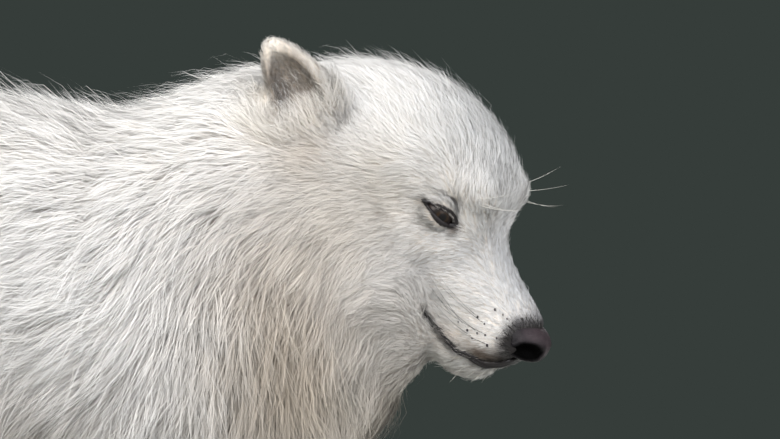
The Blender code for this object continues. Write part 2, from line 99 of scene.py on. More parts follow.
# Lie of the coat on the left side. Each row: place in mm, direction in hundredths, depth and length in mm.
HEAD_LIE = (
    (0, -112, -12, 0, 95, 30, 1, 4), (10, -100, -11, 10, 95, 28, 1.3, 5), (10, -81, -5, 6, 97, 22, 1.8, 7),
    (4, -60, 3, 5, 93, 37, 2.2, 8), (2, -44, 9, 2, 85, 50, 2.6, 9), (4, -33, 25, 0, 50, 85, 3, 9),
    (28, -71, -25, 32, 85, -35, 2, 8), (27, -93, -34, 20, 85, -45, 1.5, 6),
    (26, -95, -48, 10, 75, -60, 1.5, 6), (35, -49, -32, 21, 82, -54, 2.4, 9),
    (30, -82, -62, 45, 80, -40, 1.8, 7), (35, -62, -56, 39, 91, -12, 2.4, 9),
    (58, -46, -50, 65, 70, 20, 3.4, 13), (79, -35, -49, 90, 39, -18, 7, 20),
    (12, -112, -56, 34, 69, -64, 1.5, 6), (12, -100, -70, 20, 85, -50, 2.2, 9),
    (18, -80, -82, 20, 95, -20, 3, 12), (28, -45, -88, 25, 93, -25, 4, 15),
    (0, -60, -90, 0, 97, -25, 4, 14), (0, -20, -100, 0, 92, -40, 7, 22), (42, -21, -13, 51, 60, -62, 2, 7),
    (32, -34, -4, 65, 55, -53, 2.2, 7), (24, -38, 10, 60, 65, 45, 2.6, 8),
    (40, -20, 20, 45, 62, 65, 2.8, 8), (44, -5, 25, -2, 50, 87, 3.2, 10), (42, -12, 39, -40, 72, 55, 4, 12),
    (49, 5, 15, 62, 72, -10, 2.8, 9), (57, 13, 5, 52, 65, -55, 3, 10), (63, 18, -9, 50, 53, -69, 3.6, 12),
    (65, 4, -21, 47, 41, -78, 3.6, 12), (57, -19, -30, 58, 30, -75, 3.2, 12),
    (85, -13, -41, 83, -10, -55, 8, 20), (101, -21, -57, 76, 5, -64, 14, 28),
    (66, 30, 5, 43, 54, -72, 5, 15), (55, 22, 24, 51, 82, -26, 5, 15), (44, 19, 43, 17, 93, 33, 6, 17),
    (35, 5, 47, -17, 79, 59, 5, 14), (26, -6, 53, -25, 77, 56, 5, 14), (15, -20, 50, -15, 73, 65, 5, 13),
    (0, -20, 50, 0, 70, 70, 5, 13), (38, 56, 52, -25, 92, 15, 8, 23), (52, 52, 40, -10, 98, 10, 8, 23),
    (63, 55, 27, 3, 100, 3, 8, 23), (46, 92, 35, -10, 91, -36, 10, 28), (71, 59, 13, 21, 93, -29, 7, 22),
    (81, 65, -9, 56, 68, -47, 7, 22), (36, 80, 47, -10, 96, -24, 9, 27), (25, 42, 60, -15, 98, 3, 8, 22),
    (21, 25, 63, -12, 99, 6, 7, 19), (0, 60, 64, 0, 99, -10, 9, 25), (0, 100, 45, 0, 92, -40, 11, 30),
    (62, 104, 17, 6, 91, -41, 8, 26), (68, 83, 8, 15, 95, 15, 4, 12), (76, 80, -8, 35, 90, -5, 3.5, 10),
    (86, 85, -26, 60, 60, -45, 5, 14), (79, 96, -12, 30, 90, 10, 2.5, 8),
    (94, 100, -36, 70, 50, -50, 6, 16), (85, 40, -20, 87, 37, -32, 8, 22),
    (76, 17, -24, 90, 20, -40, 6, 18), (103, 25, -35, 84, 10, -53, 14, 30),
    (99, 1, -43, 69, -25, -64, 14, 30), (104, 54, -28, 77, 37, -52, 16, 33),
    (120, 53, -42, 70, 14, -70, 20, 38), (130, 43, -57, 60, -10, -80, 22, 42),
    (119, 21, -51, 51, -44, -74, 22, 40), (113, 6, -52, 26, -72, -64, 20, 40),
    (131, 18, -69, 41, -40, -82, 22, 44),
)
BODY_LIE = (
    (66, -290, 727, 1, 99, -10, 26, 46), (84, -350, 727, -7, 98, -17, 22, 42),
    (91, -402, 723, 9, 99, 1, 16, 36), (104, -387, 704, 17, 97, -19, 20, 40),
    (106, -350, 701, 14, 94, -31, 24, 44), (103, -305, 697, 7, 96, -29, 26, 46),
    (92, -261, 712, 10, 98, -5, 28, 48), (68, -231, 734, 5, 99, -5, 30, 52),
    (103, -424, 693, 43, 70, -57, 16, 34), (115, -402, 675, 34, 71, -62, 22, 40),
    (119, -372, 675, 34, 71, -62, 24, 44), (118, -335, 679, 28, 72, -63, 26, 46),
    (129, -328, 653, 25, 49, -84, 27, 46), (129, -350, 645, 25, 49, -84, 27, 46),
    (126, -379, 645, 28, 56, -78, 26, 45), (119, -413, 649, 27, 61, -75, 24, 42),
    (133, -365, 608, 9, 23, -97, 28, 48), (135, -342, 616, 15, 38, -91, 28, 48),
    (128, -394, 608, 9, 13, -99, 28, 48), (122, -424, 608, 5, -1, -100, 28, 46),
    (118, -446, 601, 5, -1, -100, 26, 44), (112, -468, 593, 1, -6, -100, 24, 42),
    (112, -461, 564, -11, -12, -99, 26, 46), (120, -431, 564, -7, -4, -100, 28, 48),
    (126, -402, 564, -7, 1, -100, 28, 50), (131, -372, 564, -5, 11, -99, 28, 50),
    (136, -342, 564, 0, 39, -92, 28, 50), (111, -439, 527, -26, -9, -96, 28, 50),
    (99, -468, 527, -44, -12, -89, 28, 50), (118, -409, 527, -24, 1, -97, 28, 50),
    (126, -365, 519, -17, 14, -98, 28, 50), (132, -328, 519, -10, 40, -91, 28, 50),
    (92, -490, 541, -30, 17, -94, 24, 44), (104, -483, 571, -4, 12, -99, 22, 40),
    (94, -498, 564, 1, 50, -87, 18, 34), (117, -231, 682, 15, 88, -45, 28, 48),
    (120, -261, 675, 20, 91, -38, 28, 48), (125, -290, 660, 20, 92, -34, 28, 48),
    (135, -261, 638, 8, 96, -26, 28, 48), (137, -290, 623, 10, 95, -31, 28, 48),
    (139, -231, 623, 6, 86, -50, 28, 48), (142, -261, 593, 7, 94, -33, 28, 48),
    (140, -305, 586, 6, 92, -39, 28, 48), (142, -261, 556, 1, 87, -49, 28, 48),
    (138, -298, 541, -1, 82, -58, 28, 48), (138, -261, 519, -13, 74, -66, 27, 46),
    (138, -224, 519, -10, 60, -80, 26, 46), (132, -290, 504, -12, 69, -71, 27, 48),
    # back and rump
    (0, -300, 750, 0, 99, -5, 28, 50), (0, -200, 760, 0, 98, 10, 32, 62), (0, -80, 735, 0, 99, 0, 30, 54),
    (0, 120, 700, 0, 100, 0, 26, 48), (0, 320, 705, 0, 98, -15, 24, 46), (0, 460, 680, 0, 85, -50, 24, 48),
    (90, 0, 680, 5, 96, -25, 26, 46), (80, 250, 680, 5, 93, -30, 24, 44),
    (70, 420, 650, 5, 75, -65, 24, 46),
    # flank and belly
    (140, -80, 600, 4, 93, -35, 26, 46), (140, 80, 590, 2, 94, -33, 25, 44),
    (130, 230, 570, 2, 88, -45, 24, 42), (135, -50, 490, -8, 85, -50, 25, 46),
    (125, 100, 470, -10, 86, -48, 24, 46), (100, 210, 450, -10, 80, -55, 20, 40),
    (0, -50, 370, 0, 97, -25, 18, 40), (0, 120, 400, 0, 98, -15, 16, 34), (0, 250, 440, 0, 95, 10, 14, 28),
    # chest and throat
    (0, -500, 540, 0, 30, -95, 22, 42), (0, -460, 470, 0, 25, -97, 28, 50),
    (50, -400, 420, -10, 45, -88, 26, 48), (0, -340, 380, 0, 75, -65, 24, 46),
    (0, -200, 360, 0, 93, -35, 20, 40),
    # forelegs
    (130, -160, 500, 0, 60, -80, 22, 42), (115, -200, 430, 2, 40, -92, 16, 32),
    (110, -110, 410, 2, 55, -83, 16, 34), (85, -90, 360, 0, 60, -80, 12, 28),
    (95, -150, 330, 2, 20, -98, 9, 22), (50, -150, 330, -5, 25, -97, 9, 22),
    (90, -160, 230, 0, 12, -99, 7, 18), (74, -165, 120, 0, 5, -100, 6, 16),
    (74, -210, 50, 0, -75, -65, 3.5, 11), (74, -240, 30, 0, -80, -60, 3, 9),
    (74, -130, 30, 0, -20, -98, 4, 12),
    # hind legs
    (135, 320, 540, 5, 70, -70, 22, 42), (125, 280, 450, 0, 50, -86, 18, 36),
    (125, 380, 460, 0, 55, -83, 18, 36), (80, 450, 500, 0, 25, -97, 20, 42),
    (110, 380, 370, 0, 40, -92, 12, 28), (60, 370, 400, -5, 40, -92, 10, 24),
    (92, 440, 290, 0, 35, -93, 9, 22), (92, 500, 220, 0, 15, -99, 7, 18),
    (92, 490, 120, 0, -8, -100, 6, 16), (92, 440, 50, 0, -75, -65, 3.5, 11),
    (92, 410, 30, 0, -80, -60, 3, 9), (92, 500, 30, 0, -20, -98, 4, 12),
    # tail
    (0, 500, 660, 0, 70, -70, 22, 46), (0, 580, 580, 0, 35, -93, 24, 56),
    (35, 570, 500, 12, 10, -98, 28, 66), (0, 620, 460, 0, 20, -97, 28, 66),
    (0, 530, 420, 0, -5, -99, 28, 66), (35, 580, 380, 8, 5, -99, 28, 70), (0, 595, 300, 0, 8, -99, 20, 66),
    (0, 602, 260, 0, 10, -99, 12, 50),
)

# Markings and painted shade: frame, place, radii along the frame's axes, colour, strength. Both sides carry
# each one.
MARKINGS_AND_SHADE = (
    ("head", (0.06, 0.03, -0.01), (0.03, 0.036, 0.03), "DDD6CB", 0.6),
    ("head", (0.082, 0.082, -0.03), (0.026, 0.024, 0.022), "C9B8A2", 0.7),
    ("head", (0.09, 0.03, -0.04), (0.04, 0.04, 0.04), "EEE8DF", 0.5),
    ("head", (0.0, -0.08, -0.01), (0.04, 0.06, 0.04), "DFE1E5", 0.85),
    ("head", (0.0, 0.01, 0.055), (0.07, 0.05, 0.03), "DADBDC", 0.85),
    ("head", (0.0, -0.106, -0.013), (0.016, 0.008, 0.006), "69646A", 0.8),
    ("head", (0.0225, -0.109, -0.032), (0.007, 0.006, 0.0095), "2C2527", 0.97),
    ("head", (0.015, -0.106, -0.019), (0.011, 0.006, 0.006), "77717A", 0.65),
    ("head", (0.02, -0.115, -0.044), (0.011, 0.008, 0.007), "3E2D25", 0.97),
    ("head", (0.0205, -0.109, -0.05), (0.01, 0.009, 0.0068), "4A3527", 0.97),
    ("head", (0.0225, -0.101, -0.054), (0.01, 0.01, 0.0062), "5E4634", 0.92),
    ("head", (0.03, -0.078, -0.06), (0.012, 0.02, 0.006), "A8998C", 0.5),
    ("head", (0.0348, -0.0235, 0.0005), (0.0045, 0.005, 0.006), "3A2619", 0.92),
    ("head", (0.06, 0.008, 0.001), (0.007, 0.007, 0.004), "8A7F79", 0.6),
    ("head", (0.037, -0.011, 0.015), (0.003, 0.004, 0.005), "6A6462", 0.5),
    ("head", (0.0745, 0.085, 0.0025), (0.011, 0.007, 0.006), "65584F", 0.75),
    # The ruff's tan: partly the coat's own cream, partly painted shade under the head.
    ("body", (0.0, -0.48, 0.5), (0.12, 0.08, 0.13), "BFAF9A", 0.75),
    ("body", (0.11, -0.43, 0.56), (0.06, 0.065, 0.12), "BBA992", 0.75),
    ("body", (0.1, -0.3, 0.42), (0.09, 0.2, 0.07), "C4BCB1", 0.7),
    # Painted shade: these two grey the lower flank, where the belly side turns away from the light.
    ("body", (0.14, -0.15, 0.47), (0.06, 0.16, 0.07), "CBC4BA", 0.55),
    ("body", (0.14, -0.25, 0.485), (0.07, 0.11, 0.07), "968D82", 0.85),
    ("body", (0.0, -0.3, 0.74), (0.12, 0.2, 0.07), "FFFEFD", 0.8),
    ("body", (0.0, 0.1, 0.7), (0.09, 0.4, 0.04), "F3EFE8", 0.5),
    ("body", (0.0, 0.56, 0.56), (0.05, 0.06, 0.12), "ECE6DC", 0.5),
)
COAT_WHITE = "FAF9F8"
EAR_INSIDE = "BDB5AE"
EAR_BACK = "F1ECE4"
BARE_SKIN = "171314"


def linear(code):
    """An sRGB hex colour as linear RGBA."""
    values = [int(code[i : i + 2], 16) / 255 for i in (0, 2, 4)]
    return (*(v / 12.92 if v <= 0.04045 else ((v + 0.055) / 1.055) ** 2.4 for v in values), 1.0)


def rgb(code):
    return np.array(linear(code)[:3])


def add(tree, kind, settings=(), links=()):
    """Adds a node: settings are (name or input, value), links are (input, output socket)."""
    node = tree.nodes.new(kind)
    for name, value in dict(settings).items():
        if isinstance(name, str) and hasattr(node, name):
            setattr(node, name, value)
        else:
            node.inputs[name].default_value = value
    for name, socket in dict(links).items():
        tree.links.new(socket, node.inputs[name])
    return node


def new_material(name, roughness, ior=1.5, **settings):
    """A Principled material with constant values on its own sockets. Returns (material, tree, shader)."""
    made = bpy.data.materials.new(name)
    made.use_nodes = True
    tree = made.node_tree
    shader = tree.nodes["Principled BSDF"]
    shader.inputs["Roughness"].default_value = roughness
    shader.inputs["IOR"].default_value = ior
    for socket, value in settings.items():
        shader.inputs[socket.replace("_", " ")].default_value = value
    return made, tree, shader


def attribute(tree, name, output="Fac"):
    """The socket of a value stored on the mesh."""
    return add(tree, "ShaderNodeAttribute", {"attribute_name": name}).outputs[output]


def mixed(tree, share, first, second, blend="MIX"):
    """The socket of two colours mixed. Each is a socket, a colour or a hex code."""
    node = add(tree, "ShaderNodeMix", {"data_type": "RGBA", "blend_type": blend})
    for place, value in ((0, share), (6, first), (7, second)):
        if isinstance(value, bpy.types.NodeSocket):
            tree.links.new(value, node.inputs[place])
        else:
            node.inputs[place].default_value = linear(value) if isinstance(value, str) else value
    return node.outputs[2]


def ranged(tree, value, low, high, top=1.0):
    """The socket of a value from 0 to top, spread from low to high."""
    settings = {"From Max": top, "To Min": low, "To Max": high}
    return add(tree, "ShaderNodeMapRange", settings, {"Value": value}).outputs[0]


def speckle(tree, kind, **settings):
    """A noise or cell texture in the object's own coordinates."""
    place = add(tree, "ShaderNodeTexCoord")
    return add(tree, "ShaderNodeTex" + kind, settings, {"Vector": place.outputs["Object"]}).outputs


def dress(tree, shader, colour, height=None, strength=0.0, distance=0.0):
    """Gives the shader its colour and, where there is a height, its relief."""
    tree.links.new(colour, shader.inputs["Base Color"])
    if height:
        relief = {"Strength": strength, "Distance": distance}
        bump = add(tree, "ShaderNodeBump", relief, {"Height": height})
        tree.links.new(bump.outputs[0], shader.inputs["Normal"])


def smoothstep(values, low, high):
    t = np.clip((values - low) / (high - low), 0.0, 1.0)
    return t * t * (3 - 2 * t)


def unit(vectors):
    return vectors / np.maximum(np.linalg.norm(vectors, axis=-1, keepdims=True), 1e-12)


def moved(matrix, points):
    """Points brought through a 4x4 matrix."""
    m = np.array(matrix)
    return points @ m[:3, :3].T + m[:3, 3]


def turned(matrix, vectors):
    return vectors @ np.array(matrix)[:3, :3].T


def from_head(points):
    """Points in the head's own frame."""
    return moved(INTO_HEAD, points)


def on_side(local, side):
    """A frame given on the left of the head, for that side, in the object's frame."""
    return HEAD @ (Matrix.Diagonal((-1, 1, 1, 1)) @ local if side < 0 else local)


def folded(points):
    """Points with those on the right mirrored to the left."""
    return points * np.where(points[:, :1] < 0, (-1, 1, 1), 1)


def scaled_gap(points, middle, radii):
    """Squared distance of each point from a middle, in radii along the axes."""
    return (((points - np.array(middle)) / np.array(radii)) ** 2).sum(1)


def ear_frame(side):
    """The ear's own frame: Z to the tip, -Y out of its opening. The left ear lies lower and further back."""
    if side < 0:
        tip, opening = Vector((0.35, 0.8, 0.34)), Vector((0.9, -0.35, 0.12))
    else:
        tip, opening = Vector((0.62, 0.76, -0.14)), Vector((0.7, -0.55, -0.2))
    up = tip.normalized()
    out = (opening - up * opening.dot(up)).normalized()
    turn = Matrix((out.cross(up) * -1, -out, up)).transposed()
    return on_side(Matrix.Translation(EAR_BASE) @ turn.to_4x4(), side)


def eye_frame(side):
    """The eye's own frame: Z out along its gaze, X to its inner corner, Y up. The right's is mirrored."""
    up = EYE_OUT.cross(EYE_IN) * -1
    turn = Matrix((EYE_IN, up.normalized(), EYE_OUT)).transposed()
    return on_side(Matrix.Translation(EYE) @ turn.to_4x4(), side)


def by_eyes(points):
    """For each eye: its frame, the points in it, their distance from the gaze, and which are near."""
    for side in SIDES.values():
        matrix = eye_frame(side)
        local = moved(matrix.inverted(), points)
        reach = np.hypot(local[:, 0], local[:, 1])
        yield matrix, local, reach, (local[:, 2] > -0.008) & (reach < ROUND_EYE)


def from_eyes(points):
    """How far each point is from the nearer eye's middle."""
    eyes = [np.array(eye_frame(side).translation) for side in SIDES.values()]
    return np.min([np.linalg.norm(points - eye, axis=1) for eye in eyes], axis=0)


def mesh_arrays(mesh):
    """Points, triangles and normals of a mesh as arrays."""
    mesh.calc_loop_triangles()
    points = np.empty(len(mesh.vertices) * 3)
    mesh.vertices.foreach_get("co", points)
    faces = np.empty(len(mesh.loop_triangles) * 3, np.int32)
    mesh.loop_triangles.foreach_get("vertices", faces)
    normals = np.empty(len(mesh.vertices) * 3, np.float32)
    mesh.vertex_normals.foreach_get("vector", normals)
    return points.reshape(-1, 3), faces.reshape(-1, 3), normals.reshape(-1, 3).astype(float)


def set_points(mesh, points):
    mesh.vertices.foreach_set("co", points.astype(np.float32).ravel())
    mesh.update()


def edges_of(mesh):
    edges = np.empty(len(mesh.edges) * 2, np.int32)
    mesh.edges.foreach_get("vertices", edges)
    return edges.reshape(-1, 2)


def relax(values, edges, rounds, share=0.5):
    """Smooths a field, or the points themselves, over the mesh. share may differ from point to point."""
    count = np.bincount(edges.ravel(), minlength=len(values)).astype(float)[:, None]
    a, b = edges[:, 0], edges[:, 1]
    values = values.copy()
    for _ in range(rounds):
        total = np.stack(
            [
                np.bincount(a, weights=values[b, k], minlength=len(values))
                + np.bincount(b, weights=values[a, k], minlength=len(values))
                for k in range(values.shape[1])
            ],
            axis=1,
        )
        values += share * (total / np.maximum(count, 1) - values)
    return values


def store(mesh, name, values, kind="FLOAT"):
    """Writes a value for each point of a mesh as an attribute."""
    layer = mesh.attributes.get(name) or mesh.attributes.new(name, kind, "POINT")
    key = {"FLOAT": "value", "FLOAT_VECTOR": "vector", "FLOAT_COLOR": "color"}[kind]
    layer.data.foreach_set(key, values.astype(np.float32).ravel())


def fetch(mesh, name, width):
    values = np.empty(len(mesh.vertices) * width, np.float32)
    key = {1: "value", 3: "vector", 4: "color"}[width]
    mesh.attributes[name].data.foreach_get(key, values)
    return values.reshape(-1, width).astype(float)


def mirrored_rows():
    """Every row of the lie of the coat, on both sides, in the object's frame."""
    rows = []
    for table, matrix in ((HEAD_LIE, HEAD), (BODY_LIE, Matrix())):
        data = np.array(table)
        data[:, :3] /= 1000
        data[:, 3:6] /= 100
        data[:, 6:] *= 0.001
        for side in SIDES.values():
            flipped = data.copy()
            flipped[:, 0] *= side
            flipped[:, 3] *= side
            flipped[:, :3] = moved(matrix, flipped[:, :3])
            flipped[:, 3:6] = unit(turned(matrix, flipped[:, 3:6]))
            rows.append(flipped)
    return np.concatenate(rows)


def blended_lie(points, soft=0.004):
    """Direction, depth and length of the coat at each point, from the rows within about soft of it."""
    rows = mirrored_rows()
    result = np.empty((len(points), 5))
    batch = 20000
    for start in range(0, len(points), batch):
        part = points[start : start + batch]
        gap = ((part[:, None, :] - rows[None, :, :3]) ** 2).sum(2)
        share = 1.0 / (gap + soft**2) ** 2
        share /= share.sum(1, keepdims=True)
        result[start : start + batch] = share @ rows[:, 3:8]
    return unit(result[:, :3]), result[:, 3], result[:, 4]


def lie_by_part(points):
    """The same, following each row closely on the head and loosely on the body."""
    body = smoothstep(from_head(points)[:, 1], 0.05, 0.12)
    lie, *near = blended_lie(points)
    loose = blended_lie(points, 0.03)[1:]
    depth, length = (a * (1 - body) + b * body for a, b in zip(near, loose))
    return lie, depth, length, body


def flat_on(vectors, normals):
    """Directions laid flat on the surface with these normals."""
    return unit(vectors - normals * (vectors * normals).sum(1, keepdims=True))


def ear_share(points, normals=None):
    """How far a point belongs to an ear and to its cup, its height up the ear and the lie of hair there."""
    normals = np.zeros_like(points) if normals is None else normals
    best = np.zeros(len(points))
    inside = np.zeros(len(points))
    height = np.zeros(len(points))
    lie = np.zeros((len(points), 3))
    for side in SIDES.values():
        matrix = ear_frame(side)
        local = moved(matrix.inverted(), points)
        x, y, z = local.T
        half = 0.0325 * np.sqrt(np.clip(1 - (z / 0.088) ** 2, 0.04, 1))
        near = (np.abs(x) < half) & (y > -0.026) & (y < 0.011) & (z > -0.01) & (z < 0.09)
        behind = smoothstep(y, 0.002, 0.006)
        share = np.where(near, smoothstep(z, -0.004 + 0.016 * behind, 0.014 + 0.016 * behind), 0.0)
        facing = smoothstep(-turned(matrix.inverted(), normals)[:, 1], 0.0, 0.35)
        rim = 1 - smoothstep(np.where(x > 0, x / 0.72, -x) / half, 0.55, 0.88)
        front = facing * rim * smoothstep(z, 0.008, 0.024) * (1 - smoothstep(z, 0.056, 0.074))
        front = np.where(near, front, 0.0)
        up = np.stack([x * 9.0, np.full(len(x), -0.15), np.ones(len(x))], 1)
        better = share > best
        best = np.where(better, share, best)
        inside = np.where(better, front, inside)
        height = np.where(better, z / EAR_LENGTH, height)
        lie = np.where(better[:, None], unit(turned(matrix, up)), lie)
    return best, inside, height, lie


def markings_and_shade(points, in_ear, cup):
    """The coat's colour at each point, in linear RGB, with painted shade on the lower flank, in part of the
    ruff and in the ears' cups.
    """
    colour = np.tile(rgb(COAT_WHITE), (len(points), 1))
    local = from_head(points)
    within = {"head": smoothstep(-local[:, 1], -0.16, -0.12), "body": 1.0}
    places = {"head": folded(local), "body": folded(points)}
    for where, centre, radii, code, strength in MARKINGS_AND_SHADE:
        gap = scaled_gap(places[where], centre, radii)
        share = (strength * np.exp(-1.2 * gap) * within[where])[:, None]
        colour = colour * (1 - share) + rgb(code) * share
    ear = colour * (1 - 0.6 * in_ear[:, None]) + rgb(EAR_BACK) * 0.6 * in_ear[:, None]
    # Painted shade: the cup is painted darker along its rear, where the ear folds in.
    cup_shade = np.zeros(len(points))
    for side in SIDES.values():
        x, _, z = moved(ear_frame(side).inverted(), points).T
        cup_shade += np.exp(-(((x - 0.011) / 0.009) ** 2 + ((z - 0.045) / 0.024) ** 2))
    deep = (in_ear * cup)[:, None]
    return ear * (1 - deep) + rgb(EAR_INSIDE) * (deep * (1 - 0.45 * np.minimum(cup_shade, 1)[:, None]))


def flesh_mesh():
    """All nodes of flesh as one closed surface."""
    bm = bmesh.new()
    for name in FLESH:
        part = bmesh.new()
        part.from_mesh(NODES[name].data)
        bmesh.ops.remove_doubles(part, verts=part.verts, dist=SAME_PLACE)
        part.normal_update()
        for vertex in part.verts:
            vertex.co += vertex.normal * SWELL
        copy = bpy.data.meshes.new("flesh_part")
        part.to_mesh(copy)
        part.free()
        bm.from_mesh(copy)
        bpy.data.meshes.remove(copy)
    mesh = bpy.data.meshes.new("flesh")
    bm.to_mesh(mesh)
    bm.free()
    return mesh


def applied(obj):
    """The object with its modifiers made real."""
    graph = bpy.context.evaluated_depsgraph_get()
    mesh = bpy.data.meshes.new_from_object(obj.evaluated_get(graph))
    obj.modifiers.clear()
    old = obj.data
    obj.data = mesh
    bpy.data.meshes.remove(old)
    return obj


def link(name, mesh, material):
    """A finished piece: its object at the origin, smooth, riding on the frame."""
    obj = bpy.data.objects.new(name, mesh)
    bpy.context.scene.collection.objects.link(obj)
    mesh.name = name
    mesh.materials.append(material)
    mesh.polygons.foreach_set("use_smooth", np.ones(len(mesh.polygons), bool))
    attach(obj, "root")
    return obj


def lid_edges(x, grow):
    """How far the lids open above and below the middle, for x from -1 at the outer corner to 1."""
    up = (0.0044 + grow) * (1 - x * x) ** 0.85 * (1 + 0.25 * x)
    down = (0.0027 + grow) * (1 - x * x) ** 0.95 * (1 + 0.35 * x)
    return up, down


def almond(angle, grow=0.0):
    """The opening's edge in the eye's own frame, widened all round by grow."""
    x = np.cos(angle)
    up, down = lid_edges(x, grow)
    half = OPENING_HALF + grow * 1.6
    return half * x - OPENING_SHIFT, np.where(np.sin(angle) >= 0, up, -down) + OPENING_SHIFT


def in_almond(u, v, grow):
    """True inside the lids' opening widened by grow."""
    x = np.clip((u + OPENING_SHIFT) / (OPENING_HALF + grow * 1.6), -1, 1)
    up, down = lid_edges(x, grow)
    y = v - OPENING_SHIFT
    return (y < up) & (y > -down)


def socket_floor(u, v):
    """How high the skin lies round the ball: higher by the inner corner and below."""
    return 0.004 + 0.004 * smoothstep(u, -0.012, 0.008) + 0.0012 * smoothstep(-v, 0.0, 0.01)


def shape_eye_surround(points):
    """Lays the skin over the eyeball, and opens it behind the lids."""
    for matrix, local, reach, _ in by_eyes(points):
        u, v, w = local.T
        ahead = (w > -0.012) & (reach < 0.024)
        dome = np.sqrt(np.maximum(SKIN_BY_EYE**2 - reach**2, socket_floor(u, v) ** 2))
        share = np.where(ahead, 1 - smoothstep(reach, 0.009, 0.019), 0.0)
        hole = in_almond(u, v, 0.001) & (reach < 0.015) & ahead
        target = np.where(hole, 0.003, w * (1 - share) + dome * share)
        local[:, 2] = np.where(ahead, target, w)
        points[:] = moved(matrix, local)


def shape_chin(points):
    """Sets the front of the lower jaw back under the nose, and fills out the chin and jaw below it."""
    local = from_head(points)
    x, y, z = local.T
    by_chin = 1 - smoothstep(np.linalg.norm(local - np.array(CHIN), axis=1), 0.032, 0.047)
    below = smoothstep(-z + 0.42 * (y + 0.11), 0.05, 0.056) * by_chin
    ahead = np.clip(-0.108 - y, 0, None)
    local[:, 1] += 0.5 * ahead * below
    low = smoothstep(-z, 0.058, 0.069) * by_chin
    chin = np.exp(-((x / 0.022) ** 2 + ((y + 0.1) / 0.02) ** 2))
    jaw = np.exp(-((x / 0.024) ** 2 + ((y + 0.088) / 0.019) ** 2))
    local[:, 2] -= (0.0048 * chin + 0.011 * jaw) * low
    points[:] = moved(HEAD, local)


def shape_fur_seats(points, normals):
    """Draws the skin in over the brow, where the coat would stand proud, and raises it behind the ears."""
    brow = scaled_gap(from_head(points), (0, 0.0, 0.056), (0.04, 0.034, 0.024))
    shift = -0.0045 * np.exp(-brow)
    for side in SIDES.values():
        by_ear = moved(ear_frame(side).inverted(), points)
        shift += 0.007 * np.exp(-scaled_gap(by_ear, (0.03, 0.03, 0.038), (0.016, 0.024, 0.018)))
    points += normals * shift[:, None]


def divide_near_eyes(mesh, reach):
    """Splits the skin's edges in two within reach of the eyes."""
    bm = bmesh.new()
    bm.from_mesh(mesh)
    eyes = [eye_frame(side).translation for side in SIDES.values()]
    near = {vertex for vertex in bm.verts if min((vertex.co - eye).length for eye in eyes) < reach}
    edges = [edge for edge in bm.edges if edge.verts[0] in near and edge.verts[1] in near]
    bmesh.ops.subdivide_edges(bm, edges=edges, cuts=1, use_grid_fill=True)
    bmesh.ops.triangulate(bm, faces=[face for face in bm.faces if len(face.verts) > 3])
    bm.to_mesh(mesh)
    bm.free()


def draw_in_ears(points):
    """Draws the ears' outer edges in under their fringe."""
    for side in SIDES.values():
        matrix = ear_frame(side)
        local = moved(matrix.inverted(), points)
        share = ear_share(points)[0] * (np.abs(local).sum(1) < 0.13)
        x, _, z = local.T
        local[:, 0] -= 0.3 * np.clip(x, 0, None) * smoothstep(z, 0.01, 0.035) * share
        points = np.where((share > 0)[:, None], moved(matrix, local), points)
    return points


def thin_out(obj, points, in_ear):
    """Thins the skin, least on the head and ears."""
    hold = obj.vertex_groups.new(name="hold")
    head = np.maximum(1 - smoothstep(from_head(points)[:, 1], 0.07, 0.16), in_ear)
    for value, held in ((0.5, head > 0.5), (1.0, head <= 0.5)):
        hold.add(np.flatnonzero(held).tolist(), value, "REPLACE")
    thin = obj.modifiers.new("thin", "DECIMATE")
    thin.ratio = min(1.0, MOST_SKIN / len(obj.data.loop_triangles))
    thin.vertex_group, thin.vertex_group_factor = hold.name, 0.25
    applied(obj)
    obj.vertex_groups.clear()


def skin_object():
    """One closed surface over all flesh, drawn in by the coat's depth and fitted to the eyes."""
    obj = bpy.data.objects.new("skin", flesh_mesh())
    bpy.context.scene.collection.objects.link(obj)
    remesh = obj.modifiers.new("remesh", "REMESH")
    remesh.mode, remesh.voxel_size = "VOXEL", SKIN_VOXEL
    applied(obj)
    points = mesh_arrays(obj.data)[0]
    edges = edges_of(obj.data)
    body = smoothstep(from_head(points)[:, 1], 0.03, 0.1)
    foot = 1 - smoothstep(points[:, 2], 0.05, 0.12)
    soft = (0.6 * np.maximum(body * (1 - foot), 0.0) * (1 - ear_share(points)[0]))[:, None]
    points = relax(points, edges, 5)
    points = relax(points, edges, 40, soft)
    set_points(obj.data, draw_in_ears(points))
    points, _, normals = mesh_arrays(obj.data)
    in_ear = ear_share(points)[0]
    _, depth, _, body = lie_by_part(points)
    depth = depth * (1 - in_ear) + EAR_COAT * in_ear
    inward = relax(-normals * depth[:, None], edges, 12)
    inward = relax(inward, edges, 50, (0.5 * body * (1 - in_ear))[:, None])
    points = points + inward
    shape_fur_seats(points, normals * (1 - in_ear)[:, None])
    shape_chin(points)
    set_points(obj.data, points)
    thin_out(obj, points, in_ear)
    for reach in (0.023, 0.019):
        divide_near_eyes(obj.data, reach)
    points = mesh_arrays(obj.data)[0]
    near = 1 - smoothstep(from_eyes(points), 0.018, 0.026)
    points = relax(points, edges_of(obj.data), 6, 0.5 * near[:, None])
    shape_eye_surround(points)
    set_points(obj.data, points)
    return obj


